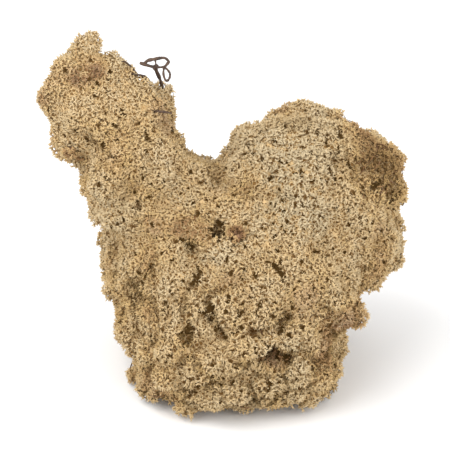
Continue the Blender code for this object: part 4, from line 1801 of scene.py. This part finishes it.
@dataclass
class CaughtBits:
    """The bits of twig and bark, in a finer form over their solids.

    Attributes:
        skin: The cushion's skin.
        relief: How far the branch tips stay below it.
        stem_radius: Radius of the dry stem.
        twig_route: Points along the twig's solid from its foot on, in millimetres.
        twig_rods: Radii and points of the twig's rods, in millimetres from the same point.
    """

    skin: CushionSkin
    relief: Relief
    stem_radius: float = 0.38 * MM
    twig_route: Rows = (
        (1.2, 0.4, -4.5), (0.8, 0.2, -1), (-0.4, 0, 2.6), (-1.1, -0.2, 5.4), (-2.2, -0.6, 8.2),
        (-3.8, -1.4, 9.8), (-5.2, -2.4, 11.2), (-4, -3.2, 12.4), (-1.8, -2.8, 12.7), (0.4, -2, 12.7),
        (1.7, -1.5, 11.6), (1, -1.8, 9.9), (1.2, -2.6, 8.4), (2.2, -3.6, 7.6), (1.4, -4.6, 6.6),
        (0.2, -4.2, 7.4),
    )
    twig_rods: tuple[tuple[tuple[float, ...], Rows], ...] = (
        ((0.50, 0.46, 0.52), ((0.2, 6.4, -2.4), (0.1, 5.6, 0.4), (-0.2, 3.8, 3.0), (-0.6, 1.2, 5.6),
                              (-1.2, -0.9, 7.9), (-1.5, -1.5, 9.4))),
        ((0.60, 0.80, 0.50), ((-2.2, -1.5, 9.2), (-1.5, -1.5, 9.6), (-0.8, -1.6, 9.5))),
        ((0.40, 0.36, 0.62, 0.34), ((-1.5, -1.5, 9.4), (-3.2, -1.9, 10.0), (-4.7, -2.1, 10.6),
                                    (-5.6, -2.2, 10.9))),
        ((0.36, 0.46, 0.44, 0.34), ((-4.4, -2.1, 10.7), (-3.4, -2.3, 11.6), (-1.4, -2.4, 12.1),
                                    (0.2, -2.2, 12.3), (1.1, -2.0, 12.2))),
        ((0.36, 0.42, 0.34), ((1.1, -2.0, 12.2), (2.0, -2.1, 11.3), (1.4, -2.3, 10.4), (0.8, -2.4, 9.7))),
        ((0.30, 0.32, 0.30), ((0.8, -2.4, 9.7), (0.6, -2.7, 8.3), (0.9, -3.0, 6.9), (1.5, -3.1, 6.2),
                              (2.2, -3.0, 7.0), (2.3, -2.7, 8.2), (1.6, -2.5, 9.2), (0.8, -2.4, 9.7))),
        ((0.34, 0.30, 0.34), ((-1.5, -1.5, 9.5), (-0.3, -1.9, 9.6), (0.8, -2.3, 9.8))),
        ((0.28, 0.20, 0.28), ((-1.5, -1.5, 9.6), (-1.4, -2.0, 10.9), (-1.6, -2.4, 12.0))),
    )

    def build(self, dark: Material, brown: Material) -> None:
        """Build all the bits, tie them to the frame and hide the solids that they stand for.

        Args:
            dark: Finish of the twig and the stem.
            brown: Finish of the flake and the crumb.
        """
        hand_in(self._twig(dark), Slot.DARK_BARK, "curly_twig")
        hand_in(self._stem(dark), Slot.DARK_BARK, "dry_stem")
        hand_in(self._ridge_stem(dark), Slot.DARK_BARK)
        hand_in(self._crumbly("flake_of_bark", "bark_flake", brown), Slot.BROWN_BARK, "bark_flake")
        hand_in(self._crumbly("crumb_of_bark", "bark_crumb", brown), Slot.BROWN_BARK, "bark_crumb")

    def _twig(self, finish: Material) -> Object:
        """Build the curled twig from its rods, over the middle of its solid."""
        low, high = box_of(bpy.data.objects["curly_twig"])
        route = smooth_route(np.array(self.twig_route) * MM)
        home = np.array((low + high) / 2.0) - (route.min(axis=0) + route.max(axis=0)) / 2.0
        rods = []
        for number, (radii, points) in enumerate(self.twig_rods):
            line = smooth_route(np.array(points) * MM) + home
            along = np.linspace(0.0, 1.0, len(line))
            thick = np.interp(along, np.linspace(0.0, 1.0, len(radii)), radii) * MM
            rods.append((line, thick * self._knots(len(line), 20 + number)))
        return rod_piece("twig_curl", rods, finish)

    def _stem(self, finish: Material) -> Object:
        """Build the dry stem along its solid, thin at both ends."""
        low, high = box_of(bpy.data.objects["dry_stem"])
        middle = (low + high) / 2.0
        half = (high.x - low.x) / 2.0 - self.stem_radius
        bends = ((-1.0, -0.1), (-0.5, 0.25), (0.0, 0.3), (0.5, 0.15), (1.0, -0.2))
        points = [(middle.x + half * along, middle.y, middle.z + lift * MM) for along, lift in bends]
        line = smooth_route(np.array(points))
        bulge = 0.45 + 0.55 * np.sin(np.linspace(0.0, math.pi, len(line)))
        return rod_piece("stem_bit", [(line, self.stem_radius * bulge * self._knots(len(line), 7))], finish)

    def _ridge_stem(self, finish: Material) -> Object:
        """Build two hair-thin stems that lie along the ridge beside the twig."""
        rods = []
        for first, last, y, seed in ((-27.5, -21.0, 10.5, 4), (-24.5, -19.0, 9.0, 5)):
            places = []
            for step in np.linspace(0.0, 1.0, 7):
                x = first + (last - first) * step
                sky = Vector((x * MM, y * MM, 0.2))
                place = self.skin.tree.ray_cast(sky, Vector((0.0, 0.0, -1.0)))[0]
                lift = 0.5 * noise.noise(Vector((3.0 * step, seed, 0.0))) - 0.9 * (2.0 * step - 1.0) ** 4
                rise = lift * MM - float(self.relief.drop(np.array([place]))[0])
                places.append(tuple(place + Vector((0.0, 0.0, rise))))
            line = smooth_route(np.array(places))
            rods.append((line, 0.24 * MM * self._knots(len(line), seed)))
        return rod_piece("ridge_stems", rods, finish)

    @staticmethod
    def _knots(amount: int, seed: int) -> Array:
        """Work out small swellings along a rod, around 1."""
        return np.array([1.0 + 0.35 * noise.noise(Vector((0.6 * step, seed, 0.5))) for step in range(amount)])

    @staticmethod
    def _crumbly(name: str, node: str, finish: Material) -> Object:
        """Build a crumbly bit over a chip's solid."""
        shape = merged_copy(bpy.data.objects[node])
        bmesh.ops.subdivide_edges(shape, edges=shape.edges, cuts=3, use_grid_fill=True, smooth=0.6)
        shape.normal_update()
        for corner in shape.verts:
            rough = noise.noise(corner.co / (1.1 * MM)) + 0.5 * noise.noise(corner.co / (0.4 * MM))
            corner.co += corner.normal * (0.85 * MM * rough - 0.25 * MM)
        return cast(name, shape, finish)


def box_of(item: Object) -> tuple[Vector, Vector]:
    """Find the lowest and highest corner of an object's box."""
    corners = np.array([corner.co for corner in item.data.vertices])
    return Vector(corners.min(axis=0)), Vector(corners.max(axis=0))


def smooth_route(points: Array, steps: int = 5) -> Array:
    """Run a smooth line through points.

    Args:
        points: The points, one a row.
        steps: Steps from each point to the next.

    Returns:
        The line's points, one a row.
    """
    ends = np.concatenate((points[:1] * 2.0 - points[1:2], points, points[-1:] * 2.0 - points[-2:-1]))
    line = []
    for before, here, there, after in zip(ends, ends[1:], ends[2:], ends[3:]):
        for share in np.arange(steps) / steps:
            pull = (there - before) * share
            bend = (2.0 * before - 5.0 * here + 4.0 * there - after) * share**2
            twist = (3.0 * here - before - 3.0 * there + after) * share**3
            line.append(here + 0.5 * (pull + bend + twist))
    line.append(points[-1])
    return np.array(line)


def rod_piece(name: str, rods: list[tuple[Array, Array]], finish: Material) -> Object:
    """Build round rods with closed ends as one piece.

    Args:
        name: Name of the piece.
        rods: For each rod its line and its radius along the line.
        finish: Its material.

    Returns:
        The piece.
    """
    curve = bpy.data.curves.new(name, "CURVE")
    curve.dimensions = "3D"
    curve.bevel_depth = 1.0
    curve.bevel_resolution = 2
    curve.use_fill_caps = True
    for line, radii in rods:
        spline = curve.splines.new("POLY")
        spline.points.add(len(line) - 1)
        for point, place, radius in zip(spline.points, line, radii):
            point.co = (*place, 1.0)
            point.radius = radius
    holder = bpy.data.objects.new(name, curve)
    bpy.context.scene.collection.objects.link(holder)
    mesh = bpy.data.meshes.new_from_object(holder.evaluated_get(bpy.context.evaluated_depsgraph_get()))
    bpy.data.objects.remove(holder)
    bpy.data.curves.remove(curve)
    mesh.name = name
    mesh.materials.clear()
    mesh.shade_smooth()
    return stand(name, mesh, finish)


def main() -> None:
    """Build the clump in order and report each piece."""
    logging.basicConfig(level=logging.INFO, format="%(message)s")
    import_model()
    low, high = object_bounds()
    litter = Litter()
    skin = CushionSkin(litter)
    LOG.info("skin area: %.0f square mm", skin.area() / MM**2)
    relief = Relief(skin)
    growth = Growth(skin)
    lichen = LichenFinish().make()
    hand_in(OldGrowth(skin, relief).build(TangleFinish().make()), Slot.LICHEN, CUSHION)
    for piece in BranchWeb(skin, relief, growth, litter).grow(lichen):
        hand_in(piece, Slot.LICHEN, CUSHION)
    dark = BarkFinish("dark_bark", paint(40, 28, 22), paint(98, 76, 60), 900.0).make()
    brown = BarkFinish("brown_bark", paint(86, 58, 36), paint(156, 119, 84), 900.0).make()
    CaughtBits(skin, relief).build(dark, brown)
    Studio().build(low, high)


if __name__ == "__main__":
    main()
